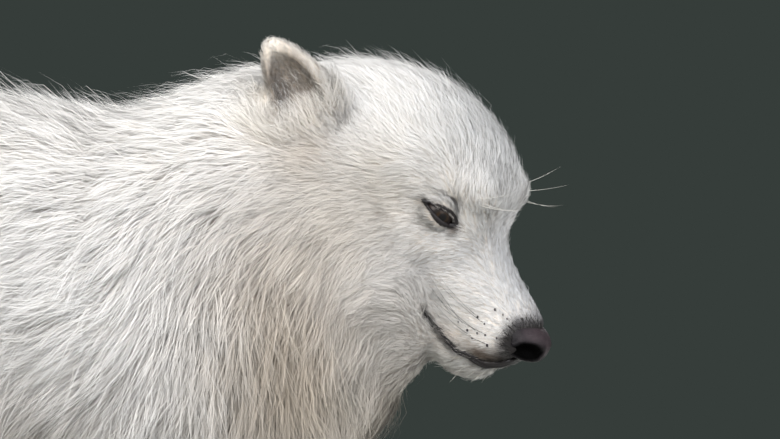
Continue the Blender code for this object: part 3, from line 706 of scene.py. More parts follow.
def mark_skin(skin):
    """Writes on the skin what its coat grows by: lie, depth, length, cup and colour."""
    points, _, normals = mesh_arrays(skin.data)
    lie, depth, length, _ = lie_by_part(points)
    in_ear, cup, height, ear_lie = ear_share(points, normals)
    share = in_ear[:, None]
    lie = relax(lie * (1 - share) + ear_lie * share, edges_of(skin.data), 4)
    lie = flat_on(lie, normals)
    # Short hair on the ears, longer behind their roots.
    root = (1 - smoothstep(height, 0.15, 0.5)) * (1 - cup)
    depth = depth * (1 - in_ear) + (0.0012 + 0.004 * root) * in_ear
    ear_length = 0.0075 - 0.004 * np.clip(height, 0, 1) + 0.014 * root
    length = length * (1 - in_ear) + ear_length * in_ear
    rims = np.zeros(len(points))
    for matrix, local, _, near in by_eyes(points):
        u, v, _ = local.T
        for grow in (0.0036, 0.0046, 0.0056, 0.0068):
            rims += 0.25 * in_almond(u, v, grow) * near
        # Round the lids the hair parts and lies away from the opening.
        away = local * np.array([0.6, 1.7, 0])
        share = (0.5 * (1 - smoothstep(np.hypot(u * 0.5, v), 0.005, 0.012)) * near)[:, None]
        lie = lie * (1 - share) + turned(matrix, unit(away)) * share
    lie = flat_on(lie, normals)
    rims = np.minimum(rims, 1)
    front = smoothstep(-from_head(points)[:, 1], 0.085, 0.105)
    by_mouth = (from_mouth(points) - 0.0018 * front) / (1 + 0.7 * front)
    by_nose = from_nose(points)
    dark = np.maximum(1 - smoothstep(by_mouth, 0.0018, 0.0042), 1 - smoothstep(by_nose, 1.05, 1.35))
    hide = np.maximum(1 - smoothstep(by_mouth, 0.003, 0.006), 1 - smoothstep(by_nose, 1.3, 1.6))
    store(skin.data, "lie", lie, "FLOAT_VECTOR")
    store(skin.data, "depth", depth)
    store(skin.data, "length", length)
    store(skin.data, "in_ear", in_ear)
    store(skin.data, "cup", cup * in_ear)
    # The hair is dark only at the bare rims, and the skin below it a little further out.
    coat = markings_and_shade(points, in_ear, cup)
    shares = {"marking_and_shade": np.maximum(0.85 * dark, 0.4 * rims**3), "hide_tone": np.maximum(hide, rims**4)}
    for name, share in shares.items():
        colour = np.ones((len(points), 4))
        colour[:, :3] = coat * (1 - share[:, None]) + rgb(BARE_SKIN) * share[:, None]
        store(skin.data, name, colour, "FLOAT_COLOR")


def from_nose(points):
    """How far each point is from the nose's middle, in its own radii."""
    return np.sqrt(scaled_gap(from_head(points), NOSE_PLACE, NOSE_RADII))


def from_mouth(points):
    """How far each point is from the line between the lips, up to 0.1 m."""
    mouth = mouth_places()
    reach = np.full(len(points), 0.1)
    near = np.linalg.norm(points - mouth.mean(0), axis=1) < 0.12
    reach[near] = np.sqrt(((points[near][:, None, :] - mouth[None]) ** 2).sum(2).min(1))
    return reach


def is_bare(points, normals):
    """True where no hair grows: within the lids, on the nose, between the lips and on the soles."""
    lip = 0.0012 + 0.0026 * smoothstep(-from_head(points)[:, 1], 0.082, 0.104)
    sole = (points[:, 2] < 0.006) & (normals[:, 2] < -0.3)
    bare = (from_nose(points) < 1.0) | (from_mouth(points) < lip) | sole
    for _, local, _, near in by_eyes(points):
        bare |= near & in_almond(local[:, 0], local[:, 1], 0.0018)
    return bare


# Where one coat gives way to the next.
NAPE = (Vector((0, -0.4373, 0.65)), Vector((0, -1, 0.5)).normalized())
FACE_BACK = 0.034
MANTLE_BACK = -0.185
FORELEG_TOP, HINDLEG_TOP = 0.345, 0.415
# The legs' axes: across, along, and how much they lean forwards going up.
LEG_AXES = {"fore": (0.072, -0.155, 0.0), "hind": (0.088, 0.4, 0.15)}


def regions(points, in_ear):
    """Which coat each place belongs to: a name for every point."""
    x, y, z = points.T
    local = from_head(points)
    side = np.where(x > 0, "left", "right")
    head_side = np.where(local[:, 0] > 0, "left", "right")
    head = (points - np.array(NAPE[0])) @ np.array(NAPE[1]) > 0
    coats = (
        ("mantle_", y < MANTLE_BACK, side),
        ("foreleg_", (z < FORELEG_TOP) & (y < -0.06) & (np.abs(x) > 0.028), side),
        ("hindleg_", (z < HINDLEG_TOP) & (y > 0.25) & (y < 0.535), side),
        ("tail", (y > 0.522 + 0.1 * np.clip(0.55 - z, 0, 0.3)) & (z > 0.24), ""),
        ("crown_", head, head_side),
        ("face_", head & (local[:, 1] < FACE_BACK), head_side),
        ("ears", in_ear > 0.4, ""),
    )
    name = np.char.add("trunk_", side)
    for coat, found, half in coats:
        name = np.where(found, np.char.add(coat, half), name)
    return name


def turn_round(x, y):
    """How far round an axis, from 0 to 1."""
    return np.arctan2(x, y) / (2 * math.pi) + 0.5


def unwrap(points, region):
    """A place on a flat layout for each point: round and along the head, an ear, the body or a limb."""
    x, y, z = points.T
    if region == "ears":
        ears = [moved(ear_frame(side).inverted(), points) for side in SIDES.values()]
        left = (np.abs(ears[0]).sum(1) < np.abs(ears[1]).sum(1))[:, None]
        u, v, w = np.where(left, ears[0], ears[1]).T
        across = 0.03 + 0.44 * turn_round(u, -v + 0.004) + 0.5 * left[:, 0]
        return np.stack([across, 0.05 + 0.9 * (w + 0.02) / 0.12], 1)
    if region.startswith(("face", "crown")):
        u, v, w = from_head(points).T
        turn, along = turn_round(u, w + 0.045), 0.92 * (v + 0.14) / 0.34
    elif region[:4] in LEG_AXES:
        across, middle, lean = LEG_AXES[region[:4]]
        turn = turn_round(np.abs(x) - across, y - middle - lean * (0.3 - z))
        along = 0.92 * z / 0.44
    elif region == "tail":
        turn, along = turn_round(x, y - 0.57), 0.92 * (z - 0.2) / 0.55
    else:
        turn, along = turn_round(x, z - 0.56), 0.92 * (y + 0.56) / 1.2
    return np.stack([0.03 + 0.94 * turn, 0.04 + along], 1)


class Pelt:
    """The skin as arrays, with everything its coat grows by."""

    FIELDS = {"lie": 3, "depth": 1, "length": 1, "cup": 1, "marking_and_shade": 4}

    def __init__(self, skin):
        mesh = skin.data
        self.points, self.faces, normals = mesh_arrays(mesh)
        # Round the eyes the coat is lit as one soft form, over the small hollows in the skin.
        near = 0.5 * (1 - smoothstep(from_eyes(self.points), 0.018, 0.028))[:, None]
        self.normals = unit(relax(normals, edges_of(mesh), 60, near))
        self.fields = {name: fetch(mesh, name, width) for name, width in self.FIELDS.items()}
        in_ear = fetch(mesh, "in_ear", 1)[:, 0]
        a, b, c = (self.points[self.faces[:, k]] for k in range(3))
        self.area = 0.5 * np.linalg.norm(np.cross(b - a, c - a), axis=1)
        self.region = regions(self.points[self.faces].mean(1), in_ear[self.faces].mean(1))
        self.tree = BVHTree.FromPolygons(self.points.tolist(), self.faces.tolist())

    def roots(self, weight, count, rng):
        """Random places on the skin, with every field there. weight is one number for each face."""
        total = np.cumsum(self.area * weight)
        face = np.searchsorted(total, rng.random(count) * total[-1])
        at = self.faces[np.minimum(face, len(self.faces) - 1)]
        a = np.sqrt(rng.random(count))
        b = rng.random(count)
        share = np.stack([1 - a, a * (1 - b), a * b], 1)[:, :, None]
        found = {name: (field[at] * share).sum(1) for name, field in self.fields.items()}
        found["root"] = (self.points[at] * share).sum(1)
        found["normal"] = unit((self.normals[at] * share).sum(1))
        kept = ~is_bare(found["root"], found["normal"])
        return {name: values[kept] for name, values in found.items()}


def turn_about(vectors, axes, angles):
    """Each vector turned about its own unit axis."""
    c, s = np.cos(angles)[:, None], np.sin(angles)[:, None]
    along = axes * (axes * vectors).sum(1, keepdims=True)
    return along + (vectors - along) * c + np.cross(axes, vectors) * s


def nearest(keys, to):
    """For each row of to, the index of the nearest key."""
    tree = KDTree(len(keys))
    for i, key in enumerate(keys.tolist()):
        tree.insert(key, i)
    tree.balance()
    return np.array([tree.find(place)[1] for place in to.tolist()])


def lay_guides(pelt, at, steps, wander, rng, lock_size, lift):
    """Paths from each guide's root, rising to the coat's depth, as (guides, steps + 1, 3)."""
    count = len(at["root"])
    keys = at["root"] + at["normal"] * 0.006
    locks = max(1, count // lock_size)
    of_lock = nearest(keys[:locks], keys)
    lean = (rng.standard_normal(locks) * wander)[of_lock] + rng.standard_normal(count) * wander * 0.5
    tall = (1 + 0.16 * rng.standard_normal(locks))[of_lock] * (1 + 0.1 * rng.standard_normal(count))
    heading = turn_about(at["lie"], at["normal"], lean)
    paths = np.empty((count, steps + 1, 3))
    paths[:, 0] = at["root"]
    place = at["root"].copy()
    step = at["length"] / steps
    height = at["depth"][:, 0] * np.clip(tall, 0.5, 1.35) * lift
    for k in range(1, steps + 1):
        ahead = place + heading * step
        hits = [pelt.tree.find_nearest(spot)[:2] for spot in ahead.tolist()]
        place = np.array([hit[0] for hit in hits])
        normal = np.array([hit[1] for hit in hits])
        heading = unit(heading - normal * (heading * normal).sum(1, keepdims=True))
        share = k / steps
        paths[:, k] = place + normal * (height * (1 - (1 - share) ** 1.7))[:, None]
    return paths, of_lock


# How far hair may stand out of the frame's box: across, along and up.
STAND_OUT = np.array([0.008, 0.013, 0.013])
ABOVE_FLOOR = 0.0002
ROOT_DEPTH = 0.0003


def kept_in(blades):
    """Bends in what would stand too far out of the frame's box or under the floor."""
    low, high = (np.array(corner) for corner in CAD_BOX)
    over = blades - high
    blades = np.where(over > 0, high + STAND_OUT * np.tanh(over / STAND_OUT), blades)
    under = low - blades
    blades = np.where(under > 0, low - STAND_OUT * np.tanh(under / STAND_OUT), blades)
    blades[..., 2] = np.maximum(blades[..., 2], ABOVE_FLOOR)
    return blades


def grow(
    pelt, region, count, seed, wider, longer,
    steps, width, clump, lock, pull, lock_pull, wander, lift, fray, stretch, in_cup=False,
):
    """Blades of hair for one region, in clumps, and the clumps in locks. Returns arrays for blades_mesh."""
    rng = np.random.default_rng(seed)
    chosen = (pelt.region == region).astype(float)
    if in_cup:
        low = pelt.fields["length"][pelt.faces].mean(1)[:, 0] > 0.0052
        chosen = chosen * (0.05 + pelt.fields["cup"][pelt.faces].mean(1)[:, 0]) * low
    at = pelt.roots(chosen, count, rng)
    if in_cup:
        at["marking_and_shade"][:, :3] = rgb(COAT_WHITE)
    at["length"] = at["length"] * stretch * longer
    count = len(at["root"])
    guides = max(1, count // clump)
    guide_at = {name: values[:guides] for name, values in at.items()}
    paths, of_lock = lay_guides(pelt, guide_at, steps, wander, rng, lock, lift)
    share = np.linspace(0, 1, steps + 1)
    lock_root = guide_at["root"][of_lock]
    toward = lock_root - guide_at["root"]
    paths += lock_pull * share[None, :, None] ** 1.3 * toward[:, None, :]
    keys = at["root"] + at["normal"] * 0.006
    mine = nearest(keys[:guides], keys)
    relative = paths[mine] - paths[mine][:, :1]
    long = np.clip(1 + 0.16 * rng.standard_normal(count), 0.55, 1.35)
    blades = at["root"][:, None, :] + relative * long[:, None, None]
    offset = guide_at["root"][mine] - at["root"]
    far = np.linalg.norm(offset, axis=1)
    reach = 2.5 * np.median(far) + 1e-9
    offset = offset * np.minimum(1, reach / np.maximum(far, 1e-9))[:, None]
    strength = pull * np.clip(1 + 0.25 * rng.standard_normal(count), 0.2, 1.25)
    blades += strength[:, None, None] * share[None, :, None] ** 1.3 * offset[:, None, :]
    loose = rng.standard_normal((count, 3)) * (at["length"] * fray)
    bend = rng.standard_normal((count, 3)) * (at["length"] * fray * 0.6)
    blades += loose[:, None, :] * share[None, :, None] ** 1.2
    blades += bend[:, None, :] * np.sin(math.pi * share)[None, :, None]
    blades[:, 0] -= at["normal"] * ROOT_DEPTH
    by_lock = rng.standard_normal((guides, 3))[of_lock[mine]]
    turned_out = 0.13 * by_lock + 0.06 * rng.standard_normal((guides, 3))[mine]
    tone = 0.5 + 0.17 * rng.standard_normal(count) + 0.1 * rng.standard_normal(guides)[mine]
    return {
        "blades": kept_in(blades),
        "turned_out": turned_out,
        "tone": np.clip(tone, 0, 1),
        "roll": rng.uniform(-1.15, 1.15, count),
        "wide": width * wider * np.clip(1 + 0.2 * rng.standard_normal(count), 0.5, 1.5),
        "region": region,
        **{name: at[name] for name in ("normal", "marking_and_shade", "root")},
    }


# A blade's width along it, as shares of its widest, for each number of steps.
PROFILES = {2: (0.9, 0.8, 0.0), 3: (0.8, 1.0, 0.7, 0.0)}


def blades_mesh(name, hair):
    """Flat tapered blades, with the layout map OFBake and the attributes that their material reads."""
    blades = hair["blades"]
    count, stops = blades.shape[:2]
    steps = stops - 1
    heading = np.empty_like(blades)
    heading[:, 1:-1] = blades[:, 2:] - blades[:, :-2]
    heading[:, 0] = blades[:, 1] - blades[:, 0]
    heading[:, -1] = blades[:, -1] - blades[:, -2]
    heading = unit(heading)
    across = np.cross(heading, hair["normal"][:, None, :])
    across = unit(across)
    up = np.cross(across, heading)
    c, s = np.cos(hair["roll"])[:, None, None], np.sin(hair["roll"])[:, None, None]
    across = across * c + up * s
    profile = np.array(PROFILES[steps])[None, :, None] * hair["wide"][:, None, None] / 2
    left, right = blades + across * profile, blades - across * profile
    per = 2 * steps + 1
    points = np.empty((count, per, 3))
    points[:, 0 : 2 * steps : 2] = left[:, :-1]
    points[:, 1 : 2 * steps : 2] = right[:, :-1]
    points[:, -1] = blades[:, -1]
    faces = []
    for k in range(steps - 1):
        a = 2 * k
        faces += [(a, a + 2, a + 3), (a, a + 3, a + 1)]
    faces.append((2 * steps - 2, 2 * steps, 2 * steps - 1))
    pattern = np.array(faces, np.int32)
    corners = (np.arange(count, dtype=np.int32)[:, None, None] * per + pattern[None]).reshape(-1)
    triangles = len(corners) // 3
    mesh = bpy.data.meshes.new(name)
    mesh.vertices.add(count * per)
    mesh.vertices.foreach_set("co", points.astype(np.float32).ravel())
    mesh.loops.add(len(corners))
    mesh.loops.foreach_set("vertex_index", corners)
    mesh.polygons.add(triangles)
    mesh.polygons.foreach_set("loop_start", np.arange(0, triangles * 3, 3, dtype=np.int32))
    mesh.update(calc_edges=True)
    along = np.empty(per)
    along[0 : 2 * steps : 2] = along[1 : 2 * steps : 2] = np.arange(steps) / steps
    along[-1] = 1.0
    place = unwrap(hair["root"], hair["region"])
    patch = np.zeros((per, 2))
    patch[:, 1] = (along - 0.5) * PATCH
    patch[0 : 2 * steps : 2, 0] = -PATCH / 2
    patch[1 : 2 * steps : 2, 0] = PATCH / 2
    flat = (place[:, None, :] + patch[None]).reshape(-1, 2)
    layer = mesh.uv_layers.new(name="OFBake")
    layer.uv.foreach_set("vector", flat[corners].astype(np.float32).ravel())
    store(mesh, "along", np.tile(along, count))
    store(mesh, "tone", np.repeat(hair["tone"], per))
    store(mesh, "marking_and_shade", np.repeat(hair["marking_and_shade"], per, axis=0), "FLOAT_COLOR")
    # Hairs scatter light as a soft mass, so a blade is lit mostly as the surface that it lies on.
    flat_out = np.cross(heading, across)
    flat_out = flat_out * np.sign((flat_out * hair["normal"][:, None, :]).sum(2, keepdims=True))
    soft = unit((0.88 * hair["normal"] + hair["turned_out"])[:, None, :] + 0.12 * flat_out)
    shade = np.empty((count, per, 3))
    shade[:, 0 : 2 * steps : 2] = shade[:, 1 : 2 * steps : 2] = soft[:, :-1]
    shade[:, -1] = soft[:, -1]
    store(mesh, "lit_from", shade.reshape(-1, 3), "FLOAT_VECTOR")
    return mesh


PATCH = 0.003  # how wide each tuft's patch is on the flat layout
NOSE_PLACE = Vector((0, -0.1125, -0.0285))
NOSE_RADII = Vector((0.0212, 0.018, 0.0162))

# First seeds of the random draws, each next piece taking the next number.
SEEDS = {"coat": 10, "single": 50, "whiskers": 61, "pits": 71, "lashes": 31}

# Piece, region, blades for a side, steps, width, blades to a clump, clumps to a lock,
# pull to the clump and to the lock, wander, lift, fray, stretch.
COATS = (
    ("face", "face", 56000, 2, 0.00036, 3, 5, 0.22, 0.1, 0.12, 0.74, 0.09, 1.0),
    ("crown", "crown", 38000, 2, 0.0005, 5, 5, 0.36, 0.18, 0.18, 0.62, 0.09, 0.9),
    ("mantle", "mantle", 63000, 2, 0.00068, 6, 6, 0.36, 0.2, 0.2, 0.74, 0.09, 0.9),
    ("trunk", "trunk", 37000, 2, 0.0011, 6, 6, 0.4, 0.2, 0.22, 0.8, 0.09, 0.9),
    ("foreleg", "foreleg", 11000, 2, 0.001, 6, 5, 0.45, 0.2, 0.12, 0.95, 0.08, 1.0),
    ("hindleg", "hindleg", 12000, 2, 0.001, 6, 5, 0.45, 0.2, 0.12, 0.95, 0.08, 1.0),
    ("face_guard", "face", 2500, 2, 0.00022, 1, 2, 0.0, 0.0, 0.25, 1.05, 0.16, 1.1),
    ("crown_guard", "crown", 3500, 3, 0.00026, 2, 3, 0.2, 0.1, 0.28, 1.0, 0.16, 1.0),
    ("mantle_guard", "mantle", 4500, 3, 0.00032, 2, 3, 0.3, 0.1, 0.28, 1.05, 0.15, 1.05),
)
# The same for regions that lie on both sides at once. The last one grows only in the cups of the ears.
SINGLE_COATS = (
    ("ears", "ears", 18000, 2, 0.00036, 4, 5, 0.25, 0.1, 0.18, 1.6, 0.16, 1.1),
    ("tail", "tail", 9000, 3, 0.0014, 9, 6, 0.7, 0.32, 0.13, 0.95, 0.06, 1.0),
    ("ear_tufts", "ears", 1100, 3, 0.00022, 3, 4, 0.3, 0.15, 0.25, 1.7, 0.14, 1.25, True),
)


def coat_material():
    """Guard hair: dry keratin, which lights softly and is faintly cream at its roots."""
    made, tree, shader = new_material("guard_hair", 0.62, 1.55, Specular_IOR_Level=0.25)
    marking_and_shade = attribute(tree, "marking_and_shade", "Color")
    root = mixed(tree, 1.0, marking_and_shade, "F7F2EB", "MULTIPLY")
    base = mixed(tree, ranged(tree, attribute(tree, "along"), 0.0, 1.0, 0.75), root, marking_and_shade)
    bright = ranged(tree, attribute(tree, "tone"), 0.93, 1.05)
    colour = add(tree, "ShaderNodeHueSaturation", {}, {"Value": bright, "Color": base}).outputs[0]
    dress(tree, shader, colour)
    kind = {"vector_type": "NORMAL", "convert_from": "OBJECT", "convert_to": "WORLD"}
    lit = attribute(tree, "lit_from", "Vector")
    lit = add(tree, "ShaderNodeVectorTransform", kind, {0: lit}).outputs[0]
    tree.links.new(lit, shader.inputs["Normal"])
    # White hair passes some light on to the hair below it.
    through = add(tree, "ShaderNodeBsdfTranslucent", {}, {"Color": colour, "Normal": lit})
    both = add(tree, "ShaderNodeMixShader", {0: 0.3}, {1: shader.outputs[0], 2: through.outputs[0]})
    tree.links.new(both.outputs[0], tree.nodes["Material Output"].inputs["Surface"])
    return made


def skin_material():
    """Hide under the coat: matt, and near black where it is bare by nose, lips and lids."""
    made, tree, shader = new_material("hide", 0.7, 1.4)
    dress(tree, shader, mixed(tree, 1.0, attribute(tree, "hide_tone", "Color"), "EBE2D8", "MULTIPLY"))
    return made


def bmesh_piece(name, bm, material):
    """A piece from a bmesh, its faces turned outwards."""
    bm.normal_update()
    bmesh.ops.recalc_face_normals(bm, faces=bm.faces)
    mesh = bpy.data.meshes.new(name)
    bm.to_mesh(mesh)
    bm.free()
    return link(name, mesh, material)


def ring_edges(bm, ring):
    made = [bm.verts.new(place) for place in ring]
    return [bm.edges.new((made[i], made[(i + 1) % len(made)])) for i in range(len(made))]


def loft(bm, rings, closed=False):
    """A skin through rings of equal counts, its last ring joined to its first or its ends capped."""
    loops = [ring_edges(bm, ring) for ring in rings]
    pairs = list(zip(loops, loops[1:])) + ([(loops[-1], loops[0])] if closed else [])
    for first, second in pairs:
        bmesh.ops.bridge_loops(bm, edges=first + second)
    if not closed:
        bmesh.ops.holes_fill(bm, edges=loops[0], sides=0)
        bmesh.ops.holes_fill(bm, edges=loops[-1], sides=0)


def smooth_path(stations, between):
    """More places on a smooth curve through the given ones."""
    table = np.array(stations, float)
    last = len(table) - 1
    dense = []
    for i in range(last):
        a, b, c, d = (table[min(max(i + k, 0), last)] for k in (-1, 0, 1, 2))
        square, cube = 2 * a - 5 * b + 4 * c - d, 3 * b - a - 3 * c + d
        for t in np.arange(between) / between:
            dense.append(0.5 * (2 * b + (c - a) * t + square * t * t + cube * t**3))
    dense.append(table[-1])
    return np.array(dense)


def hairs_mesh(name, starts, directions, bends, lengths, radius, stations=8):
    """Long single hairs as thin tapered three-sided tubes, all in one mesh."""
    count, sides = len(starts), 3
    share = np.linspace(0, 1, stations)[None, :, None]
    length = np.asarray(lengths)[:, None, None]
    centre = starts[:, None, :] + length * (directions[:, None, :] * share + bends[:, None, :] * share**2)
    heading = unit(directions)
    side = unit(np.cross(heading, np.tile([0.31, 0.17, 0.94], (count, 1))))
    other = np.cross(heading, side)
    angle = np.arange(sides) / sides * 2 * math.pi
    c, s = np.cos(angle)[None, :, None], np.sin(angle)[None, :, None]
    around = side[:, None, :] * c + other[:, None, :] * s
    taper = np.maximum((1 - share) ** 0.7, 0.06)
    wide = np.broadcast_to(np.asarray(radius, float), (count,))[:, None, None]
    points = centre[:, :, None, :] + around[:, None, :, :] * (taper * wide)[:, :, None, :]
    faces = []
    for k in range(stations - 1):
        for j in range(sides):
            a, b = k * sides + j, k * sides + (j + 1) % sides
            faces += [(a, b, b + sides), (a, b + sides, a + sides)]
    top = (stations - 1) * sides
    faces += [(0, 2, 1), (top, top + 1, top + 2)]
    first = np.arange(count)[:, None, None] * stations * sides
    corners = (first + np.array(faces)[None]).reshape(-1, 3)
    mesh = bpy.data.meshes.new(name)
    mesh.from_pydata(points.reshape(-1, 3).tolist(), [], corners.tolist())
    mesh.update()
    return mesh


# Eyes: a ball, with the cornea standing a little proud of it.
CORNEA_RISE = 0.0007
CORNEA_EDGE = 0.62  # radians from the gaze


def eyeball(side, name, radius, material):
    bm = bmesh.new()
    bmesh.ops.create_uvsphere(bm, u_segments=64, v_segments=48, radius=1.0)
    for vertex in bm.verts:
        angle = math.acos(max(-1, min(1, vertex.co.z)))
        bulge = max(0.0, 1 - (angle / CORNEA_EDGE) ** 2) ** 1.5
        vertex.co *= radius + CORNEA_RISE * bulge
    place = np.array([vertex.co for vertex in bm.verts])
    bm.transform(eye_frame(side))
    obj = bmesh_piece(f"eyeball_{name}", bm, material)
    off = np.hypot(place[:, 0], place[:, 1])
    store(obj.data, "from_pupil", np.arctan2(off, place[:, 2]))
    around = place / np.maximum(off, 1e-6)[:, None] * (1, 1, 0)
    store(obj.data, "round_pupil", around, "FLOAT_VECTOR")
    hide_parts(f"eye_{name}")


# Rings of the eye, by angle from the gaze in radians: pupil, iris, its dark edge and the white.
EYE_RINGS = {
    0.0: "050404", 0.22: "050303", 0.25: "140C07", 0.36: "271909",
    0.5: "150D07", 0.6: "0C0807", 0.7: "1C1513", 1.0: "2A211E",
}


def eye_material():
    """Wet cornea over a dark amber-brown iris: a clear, mirror-smooth coat over matt colour."""
    coat = {"Coat_Weight": 0.3, "Coat_Roughness": 0.03, "Coat_IOR": 1.3}
    made, tree, shader = new_material("wet_cornea", 0.5, 1.33, Specular_IOR_Level=0.3, **coat)
    ramp = add(tree, "ShaderNodeValToRGB", {}, {"Fac": attribute(tree, "from_pupil")})
    while len(ramp.color_ramp.elements) < len(EYE_RINGS):
        ramp.color_ramp.elements.new(0.5)
    for element, (place, code) in zip(ramp.color_ramp.elements, EYE_RINGS.items()):
        element.position, element.color = place, linear(code)
    settings = {"Scale": 9.0, "Detail": 4.0, "Roughness": 0.6}
    turn = attribute(tree, "round_pupil", "Vector")
    fibres = add(tree, "ShaderNodeTexNoise", settings, {"Vector": turn}).outputs["Fac"]
    links = {"Value": ranged(tree, fibres, 0.6, 1.35), "Color": ramp.outputs[0]}
    dress(tree, shader, add(tree, "ShaderNodeHueSaturation", {}, links).outputs[0])
    return made


# The section through a lid: how far out from the opening, and how far from the ball's middle.
LID_SECTION = (
    (-0.0008, 0.0114), (-0.0004, 0.0121), (0.0001, 0.0127), (0.0007, 0.0131), (0.0013, 0.0133),
    (0.002, 0.0132), (0.003, 0.0124), (0.0026, 0.0098), (0.0006, 0.01),
)


def lids(side, name):
    """The lids' black rim: a rolled band round the opening, on the ball, its outer edge under the coat."""
    angle = np.linspace(0, 2 * math.pi, 96, endpoint=False)
    rings = []
    for grow, radius in LID_SECTION:
        u, v = almond(angle, grow)
        reach = np.hypot(u, v)
        floor = socket_floor(u, v) + 0.0005 + 0.6 * (radius - 0.0133)
        w = np.sqrt(np.maximum(radius**2 - reach**2, np.maximum(floor, 0.0012) ** 2))
        rings.append(moved(eye_frame(side), np.stack([u, v, w], 1)))
    bm = bmesh.new()
    loft(bm, [[Vector(place) for place in ring] for ring in rings], closed=True)
    bmesh_piece(f"lids_{name}", bm, lid_material())


def lid_material():
    """Bare black skin, slightly moist: fine creases and a soft gleam."""
    found = bpy.data.materials.get("moist_black_skin")
    if found:
        return found
    coat = {"Coat_Weight": 0.05, "Coat_Roughness": 0.2}
    made, tree, shader = new_material("moist_black_skin", 0.42, 1.38, **coat)
    mottle = speckle(tree, "Noise", Scale=400.0, Detail=3.0)["Fac"]
    crease = speckle(tree, "Voronoi", Scale=1400.0)["Distance"]
    dress(tree, shader, mixed(tree, mottle, "0C0A0C", "1D1718"), crease, 0.35, 0.0003)
    return made


# One nostril from its round front to the end of its slit: places from the pad's middle, back and up.
NOSTRIL = (
    (-0.0118, 0.0032), (-0.009, 0.001), (-0.0048, -0.003),
    (0.0, -0.0058), (0.004, -0.005), (0.0066, -0.0012),
)


def nose_shape(d):
    """A rounded wedge with nostrils and a groove, for unit directions d: places, painted shade in the
    nostrils and groove, and a painted highlight on the top.
    """
    box = np.sign(d) * np.abs(d) ** 0.8
    box /= np.maximum((np.abs(box) ** 2.6).sum(1, keepdims=True) ** (1 / 2.6), 1e-9)
    point = box * np.array(NOSE_RADII)
    z = point[:, 2]
    front = smoothstep(-point[:, 1], 0.002, 0.01)
    # Below the nostrils the front slopes back to the lip, and the foot is narrower than the top.
    point[:, 1] += 0.0105 * smoothstep(-z, 0.001, 0.016) * front
    point[:, 0] *= 1 - 0.25 * smoothstep(-z, 0.002, 0.017) - 0.2 * smoothstep(z, 0.004, 0.017)
    x, y, z = point.T
    out = unit(point * np.array([1.0, 0.8, 0.9]))
    line = smooth_path(NOSTRIL, 8)
    gap = np.sqrt(((point[:, None, 1:] - line[None]) ** 2).sum(2))
    along = gap.argmin(1) / (len(line) - 1)
    gap = gap.min(1)
    wide = 0.006 - 0.0038 * smoothstep(along, 0.18, 0.62)
    sideways = smoothstep(np.abs(x), 0.0035, 0.0065)
    hole = np.exp(-((gap / wide) ** 2.5)) * sideways
    rim = np.exp(-(((gap - wide - 0.0014) / 0.0016) ** 2)) * sideways
    groove = np.exp(-((x / 0.0009) ** 2)) * smoothstep(-z, -0.006, 0.0) * front
    point += out * (0.0009 * rim)[:, None]
    deep = 0.0065 - 0.0035 * smoothstep(along, 0.15, 0.6) - 0.0022 * smoothstep(along, 0.6, 0.9)
    point -= out * (deep * hole)[:, None]
    point[:, 1] += 0.0011 * groove
    # Painted shade: the nostrils and the groove are darkened where they hollow in.
    dark = np.clip(3.0 * hole + 0.6 * groove, 0, 1)
    # Painted highlight: the top is lighter where light falls on it, fading towards the rear.
    rear = smoothstep(y, -0.002, 0.009)
    lit = smoothstep(z - 0.2 * y, 0.001, 0.013) * (1 - 0.85 * rear) * (1 - dark)
    return point + np.array(NOSE_PLACE), dark, lit


def nose_leather():
    """Bare nose skin: pebbled, near black, with a painted mauve-grey highlight on top, painted shade in the
    nostrils and a soft gleam.
    """
    made, tree, shader = new_material("nose_leather", 0.48, 1.36)
    mottle = speckle(tree, "Noise", Scale=260.0, Detail=4.0)["Fac"]
    # Pebbles about 0.9 mm across.
    pebble = speckle(tree, "Voronoi", Scale=1100.0)["Distance"]
    body = mixed(tree, mottle, "0C0A0C", "19151A")
    # The mauve-grey top is a painted highlight, mixed in by the upper attribute.
    top = mixed(tree, mottle, "252024", "3E3437")
    # Painted shade: the nostrils and the groove go near black.
    dark = attribute(tree, "painted_hollow_shade")
    colour = mixed(tree, dark, mixed(tree, attribute(tree, "upper"), body, top), "020202")
    # No gleam comes back out of the nostrils.
    tree.links.new(ranged(tree, dark, 0.35, 0.02), shader.inputs["Specular IOR Level"])
    dress(tree, shader, colour, pebble, 0.5, 0.0005)
    return made


def nose_piece():
    bm = bmesh.new()
    bmesh.ops.create_icosphere(bm, subdivisions=6, radius=1.0)
    directions = np.array([vertex.co for vertex in bm.verts])
    points, dark, lit = nose_shape(unit(directions))
    for vertex, place in zip(bm.verts, moved(HEAD, points)):
        vertex.co = place
    obj = bmesh_piece("nose_pad", bm, nose_leather())
    # These hold the painted shade in the nostrils and groove, and the painted highlight on top.
    store(obj.data, "painted_hollow_shade", dark)
    store(obj.data, "upper", lit)
    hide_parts("nose")


# The line between the lips on the left, from under the nose to the mouth's corner, in the head's frame.
MOUTH = (
    (0.0, -0.12, -0.044), (0.005, -0.1192, -0.0445), (0.01, -0.1175, -0.0455),
    (0.013, -0.1147, -0.0515), (0.0155, -0.1124, -0.0571), (0.018, -0.1086, -0.0612),
    (0.0205, -0.1033, -0.0634), (0.0235, -0.0966, -0.0641), (0.0265, -0.0897, -0.0647),
    (0.03, -0.0818, -0.0641), (0.0335, -0.0744, -0.063), (0.0365, -0.0654, -0.061),
    (0.0416, -0.0561, -0.06), (0.048, -0.0525, -0.058),
)
# The section through both lips: across and out, as shares of their half width.
LIP_SECTION = (
    (-1.0, -0.9), (-0.75, 0.25), (-0.4, 0.75), (-0.12, 0.3), (0.0, -0.7),
    (0.12, 0.3), (0.4, 0.75), (0.75, 0.25), (1.0, -0.9), (0.0, -2.2),
)


def mouth_places():
    """Places along the lips, from one corner of the mouth to the other."""
    left = smooth_path(MOUTH, 6)
    return moved(HEAD, np.concatenate([left[::-1] * np.array([-1, 1, 1]), left[1:]]))


def mouth_line(tree):
    """The lips' places laid on the skin, with its normal at each."""
    hits = [tree.find_nearest(place) for place in mouth_places().tolist()]
    return np.array([hit[0] for hit in hits]), np.array([hit[1] for hit in hits])


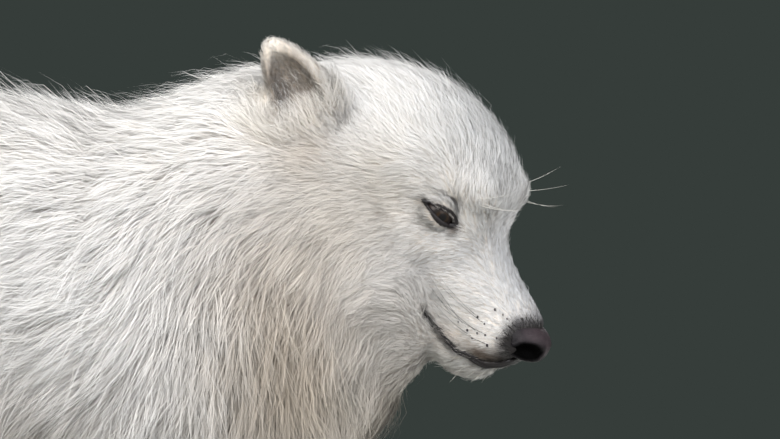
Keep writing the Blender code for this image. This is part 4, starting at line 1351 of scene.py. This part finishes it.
def lips(tree):
    """Both lips as one dark band with the mouth's crease along its middle, thin towards the corners."""
    places, normals = mouth_line(tree)
    edges = np.stack([np.arange(len(places) - 1), np.arange(1, len(places))], 1)
    normals = unit(relax(normals, edges, 12))
    places = relax(places, edges, 3)
    heading = unit(np.gradient(places, axis=0))
    across = unit(np.cross(heading, normals))
    middle = np.abs(np.linspace(-1, 1, len(places)))
    half = 0.0044 - 0.0032 * smoothstep(middle, 0.3, 0.85)
    rings = []
    for place, normal, side, wide in zip(places, normals, across, half):
        ring = [side * (x * wide) + normal * (z * wide * 0.4 + 0.001 + 0.15 * wide) for x, z in LIP_SECTION]
        rings.append([Vector(place + point) for point in ring])
    bm = bmesh.new()
    loft(bm, rings)
    bmesh_piece("lips", bm, lid_material())


ROOT_UNDER = 0.0005  # how far under the skin a single hair starts
PALE_SHARE = 0.9  # how thick a pale whisker is beside a dark one
# Whiskers of the left side: root on the face and direction, in the head's frame, and length in millimetres.
DARK_WHISKERS = (
    (0.0273, -0.0791, -0.0347, 0.45, 0.85, -0.05, 42), (0.0268, -0.0865, -0.0343, 0.5, 0.8, -0.15, 46),
    (0.0271, -0.0877, -0.043, 0.5, 0.82, -0.1, 50), (0.0276, -0.0808, -0.0472, 0.45, 0.88, 0.0, 48),
    (0.0289, -0.072, -0.048, 0.4, 0.9, 0.05, 40), (0.0258, -0.0992, -0.0435, 0.65, 0.7, -0.3, 34),
    (0.0265, -0.0875, -0.0487, 0.5, 0.82, -0.2, 44), (0.0272, -0.093, -0.0392, 0.6, 0.75, -0.2, 40),
    (0.0303, -0.0718, -0.057, 0.4, 0.9, 0.0, 36),
)
PALE_WHISKERS = (
    (0.04, -0.017, 0.03, 0.45, -0.6, 0.65, 38), (0.038, -0.02, 0.027, 0.3, -0.85, 0.4, 44),
    (0.042, -0.014, 0.032, 0.6, -0.35, 0.7, 34), (0.036, -0.022, 0.03, 0.15, -0.9, 0.45, 30),
    (0.012, -0.105, -0.069, 0.25, -0.1, -0.95, 14), (0.015, -0.098, -0.074, 0.3, 0.05, -0.95, 16),
    (0.01, -0.095, -0.077, 0.1, 0.0, -1.0, 18), (0.016, -0.088, -0.08, 0.3, 0.2, -0.93, 16),
    (0.006, -0.106, -0.068, 0.1, -0.2, -0.95, 12), (0.02, -0.08, -0.083, 0.35, 0.3, -0.88, 15),
)


def rooted(tree, place):
    """For a place on the left of the head, on each side: its sign, and the nearest skin with its normal."""
    for side in SIDES.values():
        spot = moved(HEAD, np.array([[side * place[0], place[1], place[2]]]))[0]
        hit = tree.find_nearest(spot)
        yield side, np.array(hit[0]), np.array(hit[1])


def whiskers(name, table, material, radius, seed, tree):
    rng = np.random.default_rng(seed)
    starts, directions, lengths = [], [], []
    for *place, x, y, z, length in table:
        for side, root, normal in rooted(tree, place):
            starts.append(root - normal * ROOT_UNDER)
            jitter = rng.normal(0, 0.07, 3)
            directions.append(unit(turned(HEAD, np.array([[side * x, y, z]])) + jitter)[0])
            lengths.append(length * 0.001 * rng.uniform(0.85, 1.1))
    starts, directions = np.array(starts), np.array(directions)
    droop = turned(HEAD, np.tile([[0.0, 0.1, 0.16]], (len(starts), 1)))
    bends = droop + rng.normal(0, 0.05, (len(starts), 3))
    mesh = hairs_mesh(name, starts, directions, bends, np.array(lengths), radius)
    link(name, mesh, material)


# Dark pits that the whiskers grow from, on one side.
PITS = (
    (0.0273, -0.0791, -0.0347), (0.0235, -0.0836, -0.0223), (0.0218, -0.0902, -0.0207),
    (0.0211, -0.0943, -0.0206), (0.0267, -0.0865, -0.0343), (0.027, -0.0877, -0.043),
    (0.0275, -0.0808, -0.0472), (0.0288, -0.072, -0.048), (0.0259, -0.0992, -0.0435),
    (0.0264, -0.0875, -0.0487), (0.026, -0.1003, -0.0345), (0.0271, -0.093, -0.0392),
)


def pits(tree, material):
    """Small dark mounds of the whisker pits, level with the short coat."""
    bm = bmesh.new()
    rng = np.random.default_rng(SEEDS["pits"])
    for place in PITS:
        for _, root, normal in rooted(tree, place):
            out = Vector(normal)
            turn = out.to_track_quat("Z", "Y").to_matrix().to_4x4()
            size = 0.0009 * rng.uniform(0.7, 1.2)
            scale = Matrix.Diagonal((size, size * 1.5, size * 0.6, 1))
            matrix = Matrix.Translation(Vector(root) + out * 0.0014) @ turn @ scale
            bmesh.ops.create_icosphere(bm, subdivisions=1, radius=1.0, matrix=matrix)
    bmesh_piece("whisker_pits", bm, material)


def lashes(material, each=34):
    """Pale lashes over the upper lid, so many on each side."""
    rng = np.random.default_rng(SEEDS["lashes"])
    starts, directions = [], []
    for side in SIDES.values():
        matrix = eye_frame(side)
        u, v = almond(rng.uniform(0.45, 2.3, each))
        v = v + 0.0012
        w = np.sqrt(np.maximum(SKIN_BY_EYE**2 - u * u - v * v, 0.0045**2))
        drop = -0.45 + rng.normal(0, 0.15, each)
        way = np.stack([-0.25 + 0.25 * u / 0.013, drop, 0.85 + 0 * u], 1)
        starts.append(moved(matrix, np.stack([u, v, w - ROOT_UNDER], 1)))
        directions.append(unit(turned(matrix, unit(way))))
    starts, directions = np.concatenate(starts), np.concatenate(directions)
    bends = rng.normal(0, 0.1, starts.shape)
    lengths = rng.uniform(0.0022, 0.0038, len(starts))
    mesh = hairs_mesh("lashes", starts, directions, bends, lengths, 0.00008, 5)
    link("lashes", mesh, material)


def hair_material(name, colour):
    """Stiff single hairs: smooth keratin with a low gleam."""
    made, _, shader = new_material(name, 0.45, 1.55)
    shader.inputs["Base Color"].default_value = (*colour, 1)
    return made


def claw_material(colour):
    """Claw horn: dark brown with paler streaks about 4 mm long, worn smooth."""
    made, tree, shader = new_material("claw_horn", 0.36, 1.54)
    streak = speckle(tree, "Noise", Scale=220.0, Detail=4.0)["Fac"]
    dress(tree, shader, mixed(tree, streak, (*colour, 1), "6E6258"), streak, 0.3, 0.0002)
    return made


# Lights: place, diameter, watts and colour.
LIGHTS = (
    ("sky_panel", (0.0, 0.0, 3.3), 4.0, 55, "FFFFFF"),
    ("key_panel", (-2.8, 1.7, 2.6), 2.6, 200, "FFFDFA"),
    ("fill_panel", (-3.2, -2.2, 1.9), 3.0, 122, "F8FAFF"),
    ("back_panel", (2.8, -0.2, 2.1), 3.0, 95, "FFFFFF"),
    ("front_panel", (-0.8, -3.3, 1.2), 2.2, 32, "FFFFFF"),
)
LIT_MIDDLE = Vector((0, -0.2, 0.45))  # where every light points
CAMERA_PLACE = (-4.0725, -0.5053, 0.653)
CAMERA_LENS, CAMERA_SENSOR = 250, 36  # mm


class WolfSizes(bpy.types.PropertyGroup):
    """Sizes that a user would change."""

    eyeball: bpy.props.FloatProperty(
        name="Eyeball", description="Radius of each eyeball",
        default=0.0116, unit="LENGTH", precision=4,
    )
    whisker: bpy.props.FloatProperty(
        name="Whisker", description="Radius of a dark whisker at its root",
        default=0.00022, unit="LENGTH", precision=5,
    )
    hair_width: bpy.props.FloatProperty(
        name="Hair width", description="Width of each blade of hair, as a share of the usual",
        default=1.0, min=0.2, max=3.0, subtype="FACTOR",
    )
    hair_length: bpy.props.FloatProperty(
        name="Hair length", description="Length of the coat, as a share of the usual",
        default=1.0, min=0.3, max=1.5, subtype="FACTOR",
    )
    floor_radius: bpy.props.FloatProperty(
        name="Floor radius", description="Radius of the studio floor",
        default=9.0, unit="LENGTH",
    )


class WolfColours(bpy.types.PropertyGroup):
    """Colours that a user would change."""

    whisker: bpy.props.FloatVectorProperty(
        name="Whiskers", description="Colour of the muzzle's whiskers",
        default=linear("2A2325")[:3], size=3, subtype="COLOR",
    )
    brow_hair: bpy.props.FloatVectorProperty(
        name="Brow hairs", description="Colour of the lashes and of the brow's and chin's long hairs",
        default=linear("EFEAE2")[:3], size=3, subtype="COLOR",
    )
    claw: bpy.props.FloatVectorProperty(
        name="Claws", description="Colour of the claws' horn",
        default=linear("2B2420")[:3], size=3, subtype="COLOR",
    )
    floor: bpy.props.FloatVectorProperty(
        name="Floor", description="Colour of the studio floor",
        default=linear("A9ABA7")[:3], size=3, subtype="COLOR",
    )
    backdrop: bpy.props.FloatVectorProperty(
        name="Backdrop", description="Colour behind the model",
        default=linear("363D3A")[:3], size=3, subtype="COLOR",
    )


@functools.lru_cache(maxsize=1)
def pelt():
    """The finished skin, ready for hair to grow on."""
    if "skin" not in bpy.data.objects:
        raise RuntimeError("make the skin before what lies on it")
    return Pelt(bpy.data.objects["skin"])


class WOLF_OT_skin(bpy.types.Operator):
    """Make the skin over all flesh, marked for its coat"""

    bl_idname = "wolf.skin"
    bl_label = "Skin"

    def execute(self, context):
        skin = skin_object()
        skin.data.materials.append(skin_material())
        skin.data.polygons.foreach_set("use_smooth", [True] * len(skin.data.polygons))
        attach(skin, "root")
        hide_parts(*FLESH)
        mark_skin(skin)
        pelt.cache_clear()
        return {"FINISHED"}


class WOLF_OT_eyes(bpy.types.Operator):
    """Make both eyeballs"""

    bl_idname = "wolf.eyes"
    bl_label = "Eyes"

    def execute(self, context):
        cornea = eye_material()
        for name, side in SIDES.items():
            eyeball(side, name, context.scene.wolf_sizes.eyeball, cornea)
        return {"FINISHED"}


class WOLF_OT_lids(bpy.types.Operator):
    """Make the lids' dark rims and the lashes"""

    bl_idname = "wolf.lids"
    bl_label = "Lids and lashes"

    def execute(self, context):
        for name, side in SIDES.items():
            lids(side, name)
        lashes(hair_material("pale_lash", context.scene.wolf_colours.brow_hair))
        return {"FINISHED"}


class WOLF_OT_nose(bpy.types.Operator):
    """Make the nose leather with its nostrils"""

    bl_idname = "wolf.nose"
    bl_label = "Nose"

    def execute(self, context):
        nose_piece()
        return {"FINISHED"}


class WOLF_OT_lips(bpy.types.Operator):
    """Make the edge of the lips along the closed mouth"""

    bl_idname = "wolf.lips"
    bl_label = "Lips"

    def execute(self, context):
        lips(pelt().tree)
        return {"FINISHED"}


class WOLF_OT_coat(bpy.types.Operator):
    """Grow the coat, piece by piece"""

    bl_idname = "wolf.coat"
    bl_label = "Coat"

    def execute(self, context):
        sizes = context.scene.wolf_sizes
        material = coat_material()
        coats = [(seed, row, f"_{side}") for seed, row in enumerate(COATS, SEEDS["coat"]) for side in SIDES]
        coats += [(seed, row, "") for seed, row in enumerate(SINGLE_COATS, SEEDS["single"])]
        for seed, (piece, region, count, *shape), side in coats:
            user = sizes.hair_width, sizes.hair_length
            hair = grow(pelt(), region + side, count, seed, *user, *shape)
            name = f"coat_{piece}{side}"
            link(name, blades_mesh(name, hair), material)
        return {"FINISHED"}


class WOLF_OT_whiskers(bpy.types.Operator):
    """Make the whiskers, their pits and the long hairs of brow and chin"""

    bl_idname = "wolf.whiskers"
    bl_label = "Whiskers"

    def execute(self, context):
        scene, tree = context.scene, pelt().tree
        dark = hair_material("dark_whisker", scene.wolf_colours.whisker)
        pale = hair_material("pale_whisker", scene.wolf_colours.brow_hair)
        radius = scene.wolf_sizes.whisker
        seed = SEEDS["whiskers"]
        whiskers("whiskers_muzzle", DARK_WHISKERS, dark, radius, seed, tree)
        whiskers("whiskers_brow_chin", PALE_WHISKERS, pale, radius * PALE_SHARE, seed + 1, tree)
        pits(tree, dark)
        return {"FINISHED"}


class WOLF_OT_claws(bpy.types.Operator):
    """Give the claws their horn"""

    bl_idname = "wolf.claws"
    bl_label = "Claws"

    def execute(self, context):
        horn = claw_material(context.scene.wolf_colours.claw)
        for name in CLAWS:
            slot = NODES[name].material_slots[0]
            slot.link, slot.material = "OBJECT", horn
        return {"FINISHED"}


class WOLF_OT_stage(bpy.types.Operator):
    """Make the floor, the light and the camera"""

    bl_idname = "wolf.stage"
    bl_label = "Stage"

    def execute(self, context):
        scene = context.scene
        colours = scene.wolf_colours
        bm = bmesh.new()
        bmesh.ops.create_circle(bm, cap_ends=True, segments=128, radius=scene.wolf_sizes.floor_radius)
        mesh = bpy.data.meshes.new("floor")
        bm.to_mesh(mesh)
        bm.free()
        floor = bpy.data.objects.new("floor", mesh)
        scene.collection.objects.link(floor)
        # Matt painted board: flat, no gleam.
        painted, _, shader = new_material("matt_board", 0.9)
        shader.inputs["Base Color"].default_value = (*colours.floor, 1)
        mesh.materials.append(painted)
        world = bpy.data.worlds.new("studio")
        world.use_nodes = True
        world.node_tree.nodes["Background"].inputs[0].default_value = (*colours.backdrop, 1)
        scene.world = world
        for name, place, size, power, code in LIGHTS:
            light = bpy.data.objects.new(name, bpy.data.lights.new(name, "AREA"))
            light.data.shape, light.data.size, light.data.energy = "DISK", size, power
            light.data.color = linear(code)[:3]
            light.location = place
            light.rotation_euler = (LIT_MIDDLE - Vector(place)).to_track_quat("-Z", "Y").to_euler()
            scene.collection.objects.link(light)
        camera = bpy.data.objects.new("camera", bpy.data.cameras.new("camera"))
        camera.location = CAMERA_PLACE
        camera.rotation_euler = (math.pi / 2, 0, -math.pi / 2)
        camera.data.lens, camera.data.sensor_width = CAMERA_LENS, CAMERA_SENSOR
        scene.collection.objects.link(camera)
        scene.camera = camera
        scene.view_settings.view_transform = "Standard"
        return {"FINISHED"}


PIECES = (
    WOLF_OT_skin, WOLF_OT_eyes, WOLF_OT_lids, WOLF_OT_nose, WOLF_OT_lips,
    WOLF_OT_coat, WOLF_OT_whiskers, WOLF_OT_claws, WOLF_OT_stage,
)


class WOLF_PT_panel(bpy.types.Panel):
    """The wolf's pieces, sizes and colours"""

    bl_idname = "WOLF_PT_panel"
    bl_label = "Arctic wolf"
    bl_space_type = "VIEW_3D"
    bl_region_type = "UI"
    bl_category = "Wolf"

    def draw(self, context):
        for group in (context.scene.wolf_sizes, context.scene.wolf_colours):
            column = self.layout.column()
            for name in group.bl_rna.properties.keys():
                if name not in ("rna_type", "name"):
                    column.prop(group, name)
        for piece in PIECES:
            self.layout.operator(piece.bl_idname)


CLASSES = (WolfSizes, WolfColours, *PIECES, WOLF_PT_panel)


def register():
    for made in CLASSES:
        bpy.utils.register_class(made)
    bpy.types.Scene.wolf_sizes = bpy.props.PointerProperty(type=WolfSizes)
    bpy.types.Scene.wolf_colours = bpy.props.PointerProperty(type=WolfColours)


def unregister():
    del bpy.types.Scene.wolf_colours
    del bpy.types.Scene.wolf_sizes
    for made in reversed(CLASSES):
        bpy.utils.unregister_class(made)


def main():
    register()
    for piece in PIECES:
        getattr(bpy.ops.wolf, piece.bl_idname.split(".")[1])()


if __name__ == "__main__":
    main()
